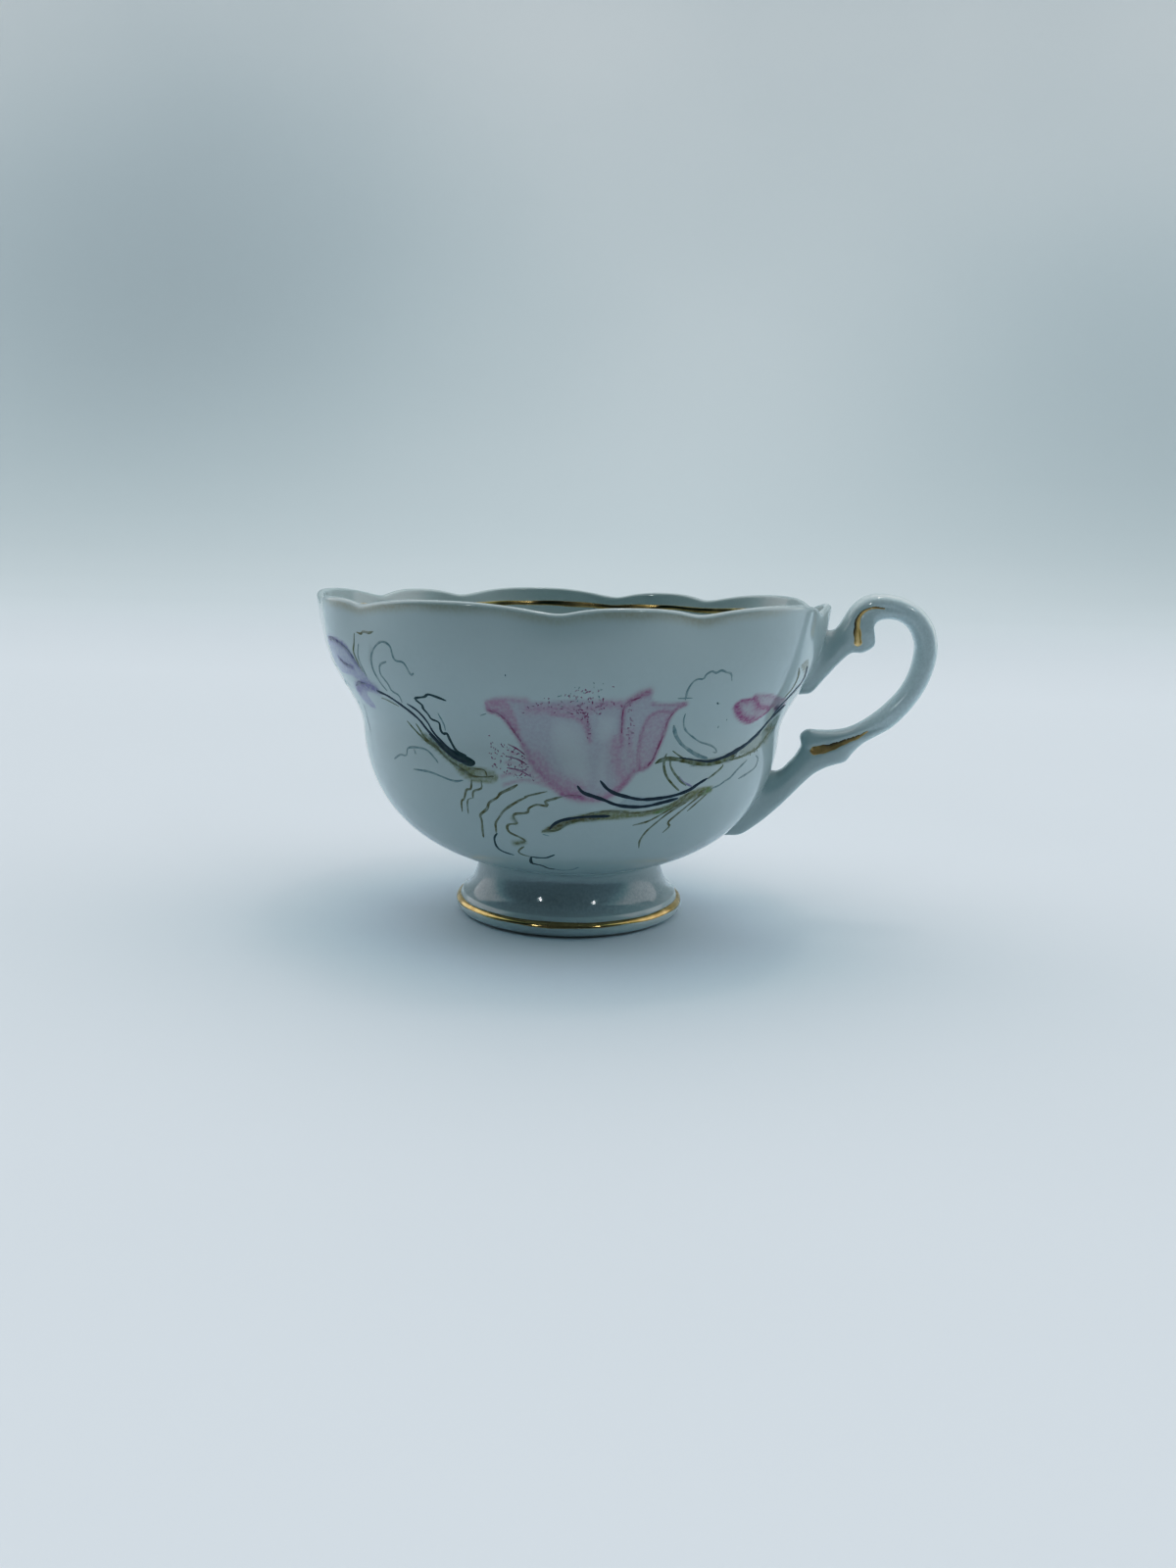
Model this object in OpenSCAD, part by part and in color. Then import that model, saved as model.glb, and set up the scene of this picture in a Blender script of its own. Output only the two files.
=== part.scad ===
// Footed porcelain teacup: a lobed bowl on a turned foot, with a scrolled handle and fired-on gilding.
// Origin at the centre of the foot's resting face, +Z up, +X towards the handle. Millimetres.

/* [Bowl] */
// Radius of the rim at the crown of a wide lobe
rim_r = 48; // [47.5:0.25:48.5]
// Height of the rim at the crown of a wide lobe
crown_h = 60.1; // [60:0.1:60.6]
// Largest radius of the belly, under the waist
belly_r = 39; // [38.5:0.25:39.5]
// Height at which the belly is widest
waist_h = 40; // [39.5:0.25:40.5]
// Height of the joint between the bowl and the foot
joint_h = 10.75; // [10.25:0.25:11.25]
// Thickness of the wall at the belly
wall = 2; // [1.75:0.05:2.25]
// Thickness of the wall at the rim
rim_wall = 1.3; // [1.1:0.05:1.5]
// Thickness of the bowl's floor over the joint
floor_t = 3; // [2.5:0.1:3.5]

/* [Rim lobes] */
// Number of wide lobes, with as many narrow ones between them
lobe_pairs = 5; // [4:1:6]
// Angle that a wide lobe spans
wide_span = 45; // [45:9:54]
// How far the rim dips at the cusps between lobes
cusp_dip = 1.7; // [1:0.1:2.2]
// How much lower a narrow lobe's crown is than a wide one's
narrow_drop = 0.5; // [0:0.1:0.8]
// How far the wall draws in at the cusps
cusp_inset = 1.6; // [0.8:0.1:2]
// How far the wall draws in at a narrow lobe's crown
narrow_inset = 0.8; // [0:0.1:1]

/* [Foot] */
// Radius of the bead round the foot at its widest
foot_r = 21.8; // [21.4:0.1:22.2]
// Radius of the foot's neck at the joint
neck_r = 17.5; // [17:0.25:17.75]
// Inner radius of the flat ring that the cup stands on
stand_inner_r = 18; // [17.5:0.25:18.25]
// Inner radius of the foot at the joint
neck_inner_r = 14.8; // [14:0.2:15]

/* [Handle] */
// Width of the handle across its flat sides
handle_w = 6.4; // [5.6:0.2:7.2]

/* [Gilding] */
// Thickness of the fired gold
gold_t = 0.15; // [0.12:0.01:0.2]
// Distance of the inner gold line's upper edge below the rim's crowns
line_drop = 2.9; // [2.7:0.1:3.3]
// Width of the inner gold line
line_w = 1.2; // [1:0.1:1.4]

/* [Hidden] */

belly_power = 2.5;            // how square the belly's quarter curve is
belly_depth = waist_h - 9;    // from the waist down to where the belly's curve would close
inner_depth = waist_h - joint_h - floor_t;
floor_edge = 0.05;            // height of the inner curve's start over the floor, which leaves a flat middle
flare_from = waist_h - 2;     // heights between which the flare's curve opens
flare_to = 62;
flare_rise = 2.5;             // how fast the flare opens at first, and how softly it starts
flare_ease = 1.3;
cusp_power = 2.5;             // how sharply the rim turns down towards a cusp
lobe_fade = 14;               // height under the crowns over which the lobes fade
lobe_left = 0.25;             // share of their shape that is left below that
step = 4.5;                   // angle between the upright lines of points on the bowl
turns = 360 / step;
pair_span = 360 / lobe_pairs;
narrow_span = pair_span - wide_span;
rim_round = rim_wall / 2;
belly_rows = 12;
flare_rows = 8;
rim_rows = 4;
inner_rows = 6;               // rows of the inner wall between the waist and the gold line
line_follow = 0.3;            // how much of the rim's dip the gold line follows

bead = 1.4;                   // radius of the bead round the foot
bead_c = [foot_r - bead, 1.7];
band_from = 15;               // angles on the bead between which the gold band lies
band_to = 70;
band_steps = 5;
foot_flare = [4.1, 7.2];      // half axes of the hollow curve between the neck and the bead
stand_bevel = [0.4, 0.6];     // bevel inside the standing ring, across and up
stand_edge = 0.2;             // from the standing ring's outer edge in to the bead's centre line

// Stations along the handle, from its upper joint round to its lower one: each is a point on the outer
// edge and the point on the inner edge across from it, as [x, z] in the plane of the handle.
stations = [
    [[46.4, 54.8], [42.2, 42.9]], [[47.8, 55.0], [44.4, 43.4]], [[48.6, 55.7], [46.6, 46.0]],
    [[49.6, 57.4], [48.8, 48.6]], [[50.5, 59.0], [51.0, 50.7]], [[51.6, 60.2], [53.3, 51.0]],
    [[52.9, 61.1], [55.2, 52.4]], [[54.2, 61.6], [54.7, 54.9]], [[55.6, 61.7], [55.5, 56.6]],
    [[57.4, 61.6], [57.3, 57.1]], [[59.6, 61.1], [59.0, 56.9]], [[62.1, 59.9], [60.5, 56.1]],
    [[64.2, 58.0], [61.6, 54.7]], [[65.8, 55.3], [62.3, 52.9]], [[66.4, 52.0], [62.4, 51.0]],
    [[66.1, 48.9], [61.8, 47.7]], [[64.8, 45.0], [60.3, 44.5]], [[62.5, 41.1], [57.6, 41.3]],
    [[59.6, 37.8], [54.5, 38.7]], [[56.6, 35.8], [51.6, 37.1]], [[54.4, 34.4], [48.9, 36.5]],
    [[52.7, 32.6], [46.2, 36.4]], [[51.3, 30.8], [44.0, 36.4]], [[49.4, 30.1], [42.8, 35.2]],
    [[47.6, 29.4], [43.0, 33.3]], [[45.4, 28.0], [42.0, 31.3]], [[43.0, 25.5], [40.9, 30.0]],
    [[40.4, 22.6], [39.9, 28.9]], [[37.9, 20.1], [38.9, 28.4]], [[35.4, 17.9], [38.1, 28.4]],
    [[32.6, 16.0], [37.7, 28.5]], [[30.0, 15.7], [37.3, 28.6]]];
section_points = 16;
section_power = 4;            // how square the handle's section is
gold_sink = 0.4;              // how deep a gilding stroke reaches before the handle is cut out of it

// Gilding strokes on the handle's sides: points on each stroke's middle line, with half its width.
upper_gold = [[52.1, 52.2, 0.85], [51.9, 54.0, 0.8], [51.7, 55.6, 0.65], [51.8, 57.1, 0.45],
              [52.6, 58.4, 0.3], [54.3, 59.2, 0.25], [56.3, 59.1, 0.15]];
lower_gold = [[44.6, 32.8, 0.7], [45.8, 33.0, 0.95], [47.9, 33.5, 0.8], [49.6, 34.2, 0.6],
              [51.3, 35.0, 0.45], [53.1, 35.8, 0.35], [54.8, 36.9, 0.15]];

// ---- Shared curves ----

function arc(c, r, a0, a1, n) = [for (i = [0:n]) let (a = a0 + (a1 - a0) * i / n) c + r * [cos(a), sin(a)]];

// A smooth curve through points p, k points to each stretch.
function blend(p0, p1, p2, p3, t) =
    p1 + 0.5 * t * ((p2 - p0) + t * ((2 * p0 - 5 * p1 + 4 * p2 - p3) + t * (3 * (p1 - p2) + p3 - p0)));
function curve(p, k) = let (n = len(p)) concat(
    [for (i = [0:n - 2]) for (j = [0:k - 1])
        blend(p[max(i - 1, 0)], p[i], p[i + 1], p[min(i + 2, n - 1)], j / k)],
    [p[n - 1]]);

// ---- The bowl's surface ----

// Where an angle lies in its lobe: [way from the lobe's crown, 0, to its cusp, 1; whether the lobe is narrow].
function lobe(a) = let (
        in_pair = abs(a - pair_span * round(a / pair_span)),
        narrow = in_pair <= narrow_span / 2)
    [narrow ? in_pair / (narrow_span / 2) : (pair_span / 2 - in_pair) / (wide_span / 2), narrow];

function rim_h(a) = let (l = lobe(a), crown = crown_h - (l[1] ? narrow_drop : 0))
    crown - (crown - (crown_h - cusp_dip)) * pow(l[0], cusp_power);

// How far the wall draws in at angle a and height z: lobed at the rim, and nearly round some way below it.
function inset(a, z) = let (
        l = lobe(a),
        crown = l[1] ? narrow_inset : 0,
        mean = (cusp_inset + narrow_inset) / 4,
        s = min(max((crown_h - z) / lobe_fade, 0), 1))
    mean + (crown + (cusp_inset - crown) * pow(l[0], 2) - mean) * (1 - (1 - lobe_left) * s * s * (3 - 2 * s));

// Radius of the belly's quarter curve at height z, for a wall moved in by t and a floor moved up by f.
function belly(z, t, f) = let (u = min(max(waist_h - z, 0) / (belly_depth - f), 1))
    (belly_r - t) * pow(1 - pow(u, belly_power), 1 / belly_power);

// How far the flare has opened at height z, from 0 to 1.
function flare(z) = let (s = min(max((z - flare_from) / (flare_to - flare_from), 0), 1))
    pow(1 - pow(1 - s, flare_rise), flare_ease);

// Radius of the wall at height z and angle a.
function wall_r(z, a, t, f) = belly(z, t, f) + (rim_r - belly_r - inset(a, z)) * flare(z);

// Heights of the belly's rows, closer together towards the floor.
function belly_z(low, f) = let (d = belly_depth - f, a0 = acos(pow((waist_h - low) / d, belly_power / 2)))
    [for (i = [0:belly_rows]) waist_h - d * pow(cos(a0 + (90 - a0) * i / belly_rows), 2 / belly_power)];

function side_z(a, i) = waist_h + (rim_h(a) - rim_round - waist_h) * i / flare_rows;

// The gold line lies between two rows of the inner face.
line_hi = crown_h - line_drop;
line_lo = line_hi - line_w;
function line_z(a, h) = h - line_follow * (crown_h - rim_h(a));

// Inner wall heights above the waist, with the gold line's two edges in place of even steps.
function inner_z(a) = concat(
    [for (i = [1:inner_rows - 1]) waist_h + (line_z(a, line_lo) - waist_h) * i / inner_rows],
    [line_z(a, line_lo), line_z(a, line_hi), rim_h(a) - rim_round]);

function wall_thin(z) = wall - (wall - rim_wall) * flare(z);

outer_belly = belly_z(joint_h, 0);
inner_belly = belly_z(joint_h + floor_t + floor_edge, belly_depth - inner_depth);

function outer_profile(a) = concat(
    [for (z = outer_belly) [wall_r(z, a, 0, 0), z]],
    [for (i = [1:flare_rows]) let (z = side_z(a, i)) [wall_r(z, a, 0, 0), z]]);

function rim_profile(a) = let (z = rim_h(a) - rim_round, r = wall_r(z, a, 0, 0) - rim_round)
    [for (i = [1:rim_rows - 1]) [r, z] + rim_round * [cos(180 * i / rim_rows), sin(180 * i / rim_rows)]];

function inner_profile(a) = concat(
    [for (z = inner_belly) [wall_r(z, a, wall_thin(z), belly_depth - inner_depth), z]],
    [for (z = inner_z(a)) [wall_r(z, a, wall_thin(z), 0), z]]);

function reversed(v) = [for (i = [len(v) - 1:-1:0]) v[i]];
function bowl_profile(a) = concat(outer_profile(a), rim_profile(a), reversed(inner_profile(a)));

// A closed skin over one profile per angle: rings of points joined row by row, with flat ends.
module lathe(profiles) {
    n = len(profiles);
    rows = len(profiles[0]);
    points = [for (i = [0:n - 1]) for (p = profiles[i])
        [p[0] * cos(i * step), p[0] * sin(i * step), p[1]]];
    sides = [for (i = [0:n - 1]) let (j = (i + 1) % n) for (k = [0:rows - 2])
        for (f = [[i * rows + k, i * rows + k + 1, j * rows + k + 1],
                  [i * rows + k, j * rows + k + 1, j * rows + k]]) f];
    bottom = [for (i = [0:n - 1]) i * rows];
    top = [for (i = [n - 1:-1:0]) i * rows + rows - 1];
    polyhedron(points, concat(sides, [bottom, top]));
}

// A closed ring over one closed profile per angle.
module ring(profiles) {
    n = len(profiles);
    rows = len(profiles[0]);
    points = [for (i = [0:n - 1]) for (p = profiles[i])
        [p[0] * cos(i * step), p[0] * sin(i * step), p[1]]];
    polyhedron(points, [for (i = [0:n - 1]) let (j = (i + 1) % n)
        for (k = [0:rows - 1]) let (m = (k + 1) % rows)
            for (f = [[i * rows + k, i * rows + m, j * rows + m],
                      [i * rows + k, j * rows + m, j * rows + k]]) f]);
}

// ---- Sub-parts ----

module bowl() {
    color("#dfe6e8") lathe([for (i = [0:turns - 1]) bowl_profile(i * step)]);
}

module foot() {
    outside = concat(
        arc(bead_c, bead, -75, band_from, 6),
        arc(bead_c, bead, band_from, band_to, band_steps),
        [for (t = [75:-15:0]) [neck_r + foot_flare[0] * (1 - cos(t)), joint_h - foot_flare[1] * sin(t)]]);
    color("#dfe6e8") rotate_extrude($fn = 96)
        polygon(concat([[stand_inner_r + stand_bevel[0], 0], [bead_c[0] - stand_edge, 0]], outside,
                       [[neck_inner_r, joint_h], [stand_inner_r, stand_bevel[1]]]));
}

// A point on the bowl's outside at height z, y to one side of the handle's plane.
function against_bowl(y, z) = let (r = wall_r(z, asin(y / wall_r(z, 0, 0, 0)), 0, 0))
    [sqrt(r ^ 2 - y ^ 2), y, z];

// The handle's section at one station, from the outer edge round to the inner one and back.
function section(s) = [for (k = [0:section_points - 1]) let (
        a = 360 * k / section_points,
        u = sign(cos(a)) * pow(abs(cos(a)), 2 / section_power),
        v = sign(sin(a)) * pow(abs(sin(a)), 2 / section_power),
        p = (s[0] + s[1]) / 2 + u * (s[0] - s[1]) / 2)
    [p[0], v * handle_w / 2, p[1]]];

// The stations joined by smooth curves, each end laid against the bowl.
handle_sections = let (
        outer = curve([for (s = stations) s[0]], 2),
        inner = curve([for (s = stations) s[1]], 2),
        n = len(outer))
    [for (i = [0:n - 1]) let (s = section([outer[i], inner[i]]))
        i == 0 || i == n - 1 ? [for (p = s) against_bowl(p[1], p[2])] : s];

module handle_body() {
    n = len(handle_sections);
    m = section_points;
    rungs = [for (k = [0:m / 2 - 1]) for (f = [[k, k + 1, m - k - 1], [k, m - k - 1, (m - k) % m]])
        if (f[0] != f[2] && f[1] != f[2]) f];
    polyhedron([for (s = handle_sections) for (p = s) p], concat(
        [for (i = [0:n - 2]) for (k = [0:m - 1]) let (j = (k + 1) % m)
            for (f = [[i * m + k, i * m + j, (i + 1) * m + j],
                      [i * m + k, (i + 1) * m + j, (i + 1) * m + k]]) f],
        [for (f = rungs) [f[2], f[1], f[0]]],
        [for (f = rungs) [for (k = f) (n - 1) * m + k]]));
}

module handle() {
    color("#dfe6e8") handle_body();
}

// The outline of a stroke that starts round and tapers to its other end.
function stroke_outline(points) = let (
        p = curve(points, 3),
        n = len(p),
        way = [for (i = [0:n - 1]) let (d = p[min(i + 1, n - 1)] - p[max(i - 1, 0)])
            [d[0], d[1]] / norm([d[0], d[1]])],
        mid = [for (q = p) [q[0], q[1]]])
    concat([for (i = [0:n - 1]) mid[i] + p[i][2] * [way[i][1], -way[i][0]]],
           [for (i = [n - 1:-1:0]) mid[i] + p[i][2] * [-way[i][1], way[i][0]]],
           [for (a = [45:45:135]) mid[0] + p[0][2] * (cos(a) * [-way[0][1], way[0][0]] - sin(a) * way[0])]);

// Gold laid on both sides of the handle, in the outline of one stroke.
module gilding(points) {
    color("#b8863b") difference() {
        for (side = [-1, 1]) translate([0, side * (handle_w + gold_t - gold_sink) / 2, 0]) rotate([90, 0, 0])
            linear_extrude(height = gold_t + gold_sink, center = true)
                polygon(stroke_outline(points));
        handle_body();
    }
}

module handle_upper_gilding() {
    gilding(upper_gold);
}

module handle_lower_gilding() {
    gilding(lower_gold);
}

module inner_gold_line() {
    color("#b8863b") ring([for (i = [0:turns - 1]) let (a = i * step,
            edge = [for (h = [line_lo, line_hi]) let (z = line_z(a, h)) [wall_r(z, a, wall_thin(z), 0), z]])
        [edge[0], edge[1], edge[1] - [gold_t, 0], edge[0] - [gold_t, 0]]]);
}

module foot_gold_band() {
    color("#b8863b") rotate_extrude($fn = 96)
        polygon(concat(arc(bead_c, bead + gold_t, band_from, band_to, band_steps),
                       reversed(arc(bead_c, bead, band_from, band_to, band_steps))));
}

bowl();
foot();
handle();
inner_gold_line();
foot_gold_band();
handle_upper_gilding();
handle_lower_gilding();
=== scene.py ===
"""Looks of a footed porcelain teacup: glazed body, painted sprays and gold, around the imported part."""

import math

import bmesh
import bpy
import numpy as np
from mathutils import Matrix, Vector
from mathutils.bvhtree import BVHTree


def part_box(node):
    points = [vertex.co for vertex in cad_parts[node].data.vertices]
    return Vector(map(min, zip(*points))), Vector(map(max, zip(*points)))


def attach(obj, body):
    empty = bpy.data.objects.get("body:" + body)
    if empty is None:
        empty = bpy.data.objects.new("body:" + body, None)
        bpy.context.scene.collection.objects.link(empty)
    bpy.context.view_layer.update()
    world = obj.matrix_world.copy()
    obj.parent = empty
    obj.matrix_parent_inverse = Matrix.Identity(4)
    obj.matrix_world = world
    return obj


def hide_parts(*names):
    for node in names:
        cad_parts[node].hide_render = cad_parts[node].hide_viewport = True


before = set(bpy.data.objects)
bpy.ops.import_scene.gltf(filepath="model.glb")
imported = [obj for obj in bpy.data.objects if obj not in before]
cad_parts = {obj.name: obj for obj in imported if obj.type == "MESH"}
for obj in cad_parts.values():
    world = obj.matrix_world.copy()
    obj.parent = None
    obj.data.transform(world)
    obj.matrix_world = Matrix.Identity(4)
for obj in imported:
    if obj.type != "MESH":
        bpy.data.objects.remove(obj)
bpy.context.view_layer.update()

MM = 0.001                      # shapes below are worked out in millimetres
rng = np.random.default_rng(7)

# ---- Driving dimensions, from the frame where a node gives them ----


def node_box(name):
    return np.array(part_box(name)) / MM


bowl_low, bowl_high = node_box("bowl")
handle_low, handle_high = node_box("handle")

JOINT_H = bowl_low[2]           # joint between the bowl and the foot
CROWN_H = bowl_high[2]          # rim at a wide lobe's crown
RIM_R = -bowl_low[0]            # the side away from the handle ends in a wide lobe's crown
FOOT_R = node_box("foot")[1][0]
HANDLE_W = handle_high[1] - handle_low[1]

BELLY_R = 39.0
WAIST_H = 40.0
BELLY_DEPTH = 31.0              # from the waist down to where the belly's curve would close
BELLY_POWER = 2.5
FLARE_FROM, FLARE_TO = 38.0, 62.0
FLARE_RISE, FLARE_EASE = 2.5, 1.3
WALL, RIM_WALL = 2.0, 1.3
FLOOR_T = 3.0
PAIR_SPAN, NARROW_SPAN = 72.0, 27.0
CUSP_DIP, NARROW_DROP, CUSP_POWER = 1.7, 0.5, 2.5
CUSP_INSET, NARROW_INSET = 1.6, 0.8
LOBE_FADE, LOBE_LEFT = 14.0, 0.25       # the lobes fade over this height, to this share of their shape
BEAD_R, BEAD_H = 1.4, 1.7       # bead round the foot
NECK_R, NECK_INNER_R = 17.5, 14.8
STAND_INNER_R = 18.0

LINE_W, LINE_FOLLOW = 1.2, 0.3  # the inner gold line's width, and how much of the rim's dip it follows
LINE_TOP = node_box("inner_gold_line")[1][2]

FLAT_R = 42.0                   # the painted band is laid out flat at this radius, in mm along and up


# ---- The bowl's surface ----

# Offsets in mm and shares with which the profile is averaged about the waist, where it has no sharp turn.
SOFTENING = ((-3.0, 0.12), (-1.5, 0.23), (0.0, 0.30), (1.5, 0.23), (3.0, 0.12))


def softened(curve, z):
    reach = np.exp(-((z - WAIST_H) / 7) ** 2)
    return sum(share * curve(z + offset * reach) for offset, share in SOFTENING)


def flare(z):
    s = np.clip((z - FLARE_FROM) / (FLARE_TO - FLARE_FROM), 0, 1)
    return (1 - (1 - s) ** FLARE_RISE) ** FLARE_EASE


# Cusps that stray from the even pattern, as on any piece finished by hand: angle, shift round the rim in
# degrees, and how much shallower the dip is in mm.
UNEVEN_CUSPS = [(-130.5, -0.8, 0.4), (-85.5, 0.0, 0.2), (-58.5, 0.8, 0.3)]


def unevenness(az, which):
    around = (az + 180) % 360 - 180
    return sum(cusp[which] * np.exp(-((around - cusp[0]) / 9) ** 2) for cusp in UNEVEN_CUSPS)


def lobe(az):
    """How far each angle is from its lobe's crown, 0 to 1 at the cusp, and whether the lobe is narrow."""
    az = az - unevenness(az, 1)
    in_pair = np.abs(az - PAIR_SPAN * np.round(az / PAIR_SPAN))
    narrow = in_pair <= NARROW_SPAN / 2
    half_narrow, half_wide = NARROW_SPAN / 2, (PAIR_SPAN - NARROW_SPAN) / 2
    return np.where(narrow, in_pair / half_narrow, (PAIR_SPAN / 2 - in_pair) / half_wide), narrow


def eased(way, by):
    """The way from crown to cusp, with its turn at the cusp rounded off."""
    return (np.hypot(1, by) - np.hypot(1 - way, by)) / (np.hypot(1, by) - by)


def rim_height(az):
    way, narrow = lobe(az)
    way = eased(way, 0.16)
    crown = CROWN_H - np.where(narrow, NARROW_DROP, 0)
    return crown - (crown - (CROWN_H - CUSP_DIP)) * way ** CUSP_POWER + unevenness(az, 2)


def wobble(az, z):
    """The slight unevenness of a piece finished by hand."""
    a = np.radians(az)
    return 0.05 * np.sin(2 * a + 0.7) + 0.035 * np.sin(3 * a + z / 9) + 0.025 * np.sin(5 * a - z / 6 + 1.3)


def wall_radius(az, z, thick=0.0, raised=0.0):
    """Radius of the outside, or of a wall moved in by thick and a floor moved up by raised."""

    def belly(height):
        u = np.clip(np.maximum(WAIST_H - height, 0) / (BELLY_DEPTH - raised), 0, 1)
        return (BELLY_R - thick) * (1 - u ** BELLY_POWER) ** (1 / BELLY_POWER)

    way, narrow = lobe(az)
    crown = np.where(narrow, NARROW_INSET, 0.0)
    down = np.clip((CROWN_H - z) / LOBE_FADE, 0, 1)
    crease = eased(way, 0.15 + 1.5 * down)
    mean = (CUSP_INSET + NARROW_INSET) / 4
    lobed = crown + (CUSP_INSET - crown) * crease ** 2 - mean
    inset = mean + lobed * (1 - (1 - LOBE_LEFT) * down * down * (3 - 2 * down))
    return softened(belly, z) + (RIM_R - BELLY_R - inset) * softened(flare, z) + wobble(az, z)


def wall_thickness(z):
    return WALL - (WALL - RIM_WALL) * softened(flare, z)


def polar(radius, az, z):
    a = np.radians(az)
    return np.stack([radius * np.cos(a), radius * np.sin(a), np.broadcast_to(z, np.shape(radius))], -1)


def on_wall(az, z):
    return polar(wall_radius(az, z), az, z)


def wall_frame(az, z):
    """Points on the bowl's outside with their outward normals."""
    step = 0.05
    east = on_wall(az + step, z) - on_wall(az - step, z)
    up = on_wall(az, z + step) - on_wall(az, z - step)
    normal = np.cross(east, up)
    return on_wall(az, z), normal / np.linalg.norm(normal, axis=-1, keepdims=True)


# ---- Mesh helpers ----

def mesh_object(name, points, faces, material, paint=None):
    """A smooth-shaded piece, with the colour and cover of its painted washes, painted shade and painted light
    at each point.
    """
    mesh = bpy.data.meshes.new(name)
    mesh.from_pydata((np.asarray(points) * MM).tolist(), [], faces)
    work = bmesh.new()
    work.from_mesh(mesh)
    bmesh.ops.recalc_face_normals(work, faces=work.faces)
    work.to_mesh(mesh)
    work.free()
    mesh.shade_smooth()
    mesh.materials.append(material)
    colour = np.zeros((len(mesh.vertices), 4), np.float32) if paint is None else paint
    layer = mesh.color_attributes.new(name="paint", type="FLOAT_COLOR", domain="POINT")
    layer.data.foreach_set("color", colour.reshape(-1).astype(np.float32))
    obj = bpy.data.objects.new(name, mesh)
    bpy.context.scene.collection.objects.link(obj)
    return obj


def grid_faces(columns, rows, wrap_columns, wrap_rows=False, caps=(False, False)):
    """Quads over a grid of points numbered column by column, with its first or last row closed if asked."""
    index = np.arange(columns * rows).reshape(columns, rows)
    wide = np.vstack([index, index[:1]]) if wrap_columns else index
    wide = np.hstack([wide, wide[:, :1]]) if wrap_rows else wide
    corners = [wide[:-1, :-1], wide[1:, :-1], wide[1:, 1:], wide[:-1, 1:]]
    quads = np.stack(corners, -1).reshape(-1, 4).tolist()
    if caps[0]:
        quads.append(index[:, 0].tolist()[::-1])
    if caps[1]:
        quads.append(index[:, -1].tolist())
    return quads


def tube_faces(sections, sides):
    """Faces of a closed tube, with its ends, whose points are numbered section by section."""
    count = sections * sides
    ends = [list(range(sides))[::-1], list(range(count - sides, count))]
    return grid_faces(sections, sides, False, True) + ends


def curve_through(points, steps):
    """A Catmull-Rom curve through points, with so many steps from each to the next."""
    p = np.array(points, float)
    padded = np.vstack([2 * p[0] - p[1], p, 2 * p[-1] - p[-2]])
    t = np.linspace(0, 1, steps, endpoint=False)[:, None]
    parts = []
    for a, b, c, d in zip(padded[:-3], padded[1:-2], padded[2:-1], padded[3:]):
        bend, twist = 2 * a - 5 * b + 4 * c - d, 3 * (b - c) + d - a
        parts.append(b + 0.5 * t * ((c - a) + t * (bend + t * twist)))
    return np.vstack(parts + [p[-1:]])


def lengths(line):
    """How far along the line each of its points is."""
    return np.concatenate([[0], np.cumsum(np.hypot(*np.diff(line[:, :2], axis=0).T))])


def leftwards(line):
    """Unit steps to the left of a line at each of its points."""
    way = np.gradient(line[:, :2], axis=0)
    way /= np.maximum(np.linalg.norm(way, axis=1, keepdims=True), 1e-9)
    return np.stack([-way[:, 1], way[:, 0]], -1)


def smooth(points, gap):
    """A smooth line through points, given as [along, up, ...], with a point every gap mm."""
    dense = curve_through(points, 10)
    arc = lengths(dense)
    even = np.linspace(0, arc[-1], max(3, int(arc[-1] / gap) + 1))
    return np.column_stack([np.interp(even, arc, column) for column in dense.T])


def points_in(text):
    """Painted points, as (angle round the bowl, height, ...), from a text with commas between them.

    The text's angles are degrees clockwise from the handle, as seen from above, and its lengths are in mm.
    """
    numbers = [list(map(float, point.split())) for point in text.split(",")]
    return [(-angle, *others) for angle, *others in numbers]


def flat(points):
    """Painted points, given as (angle round the bowl, height, ...), laid out flat in mm."""
    p = np.array(points, float)
    p[:, 0] = np.radians(p[:, 0]) * FLAT_R
    return p


def finish_piece(obj, slot, *nodes):
    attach(obj, "root")
    if nodes:
        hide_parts(*nodes)
    return obj


# ---- Materials ----

GLAZE = (0.462, 0.555, 0.565)


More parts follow.
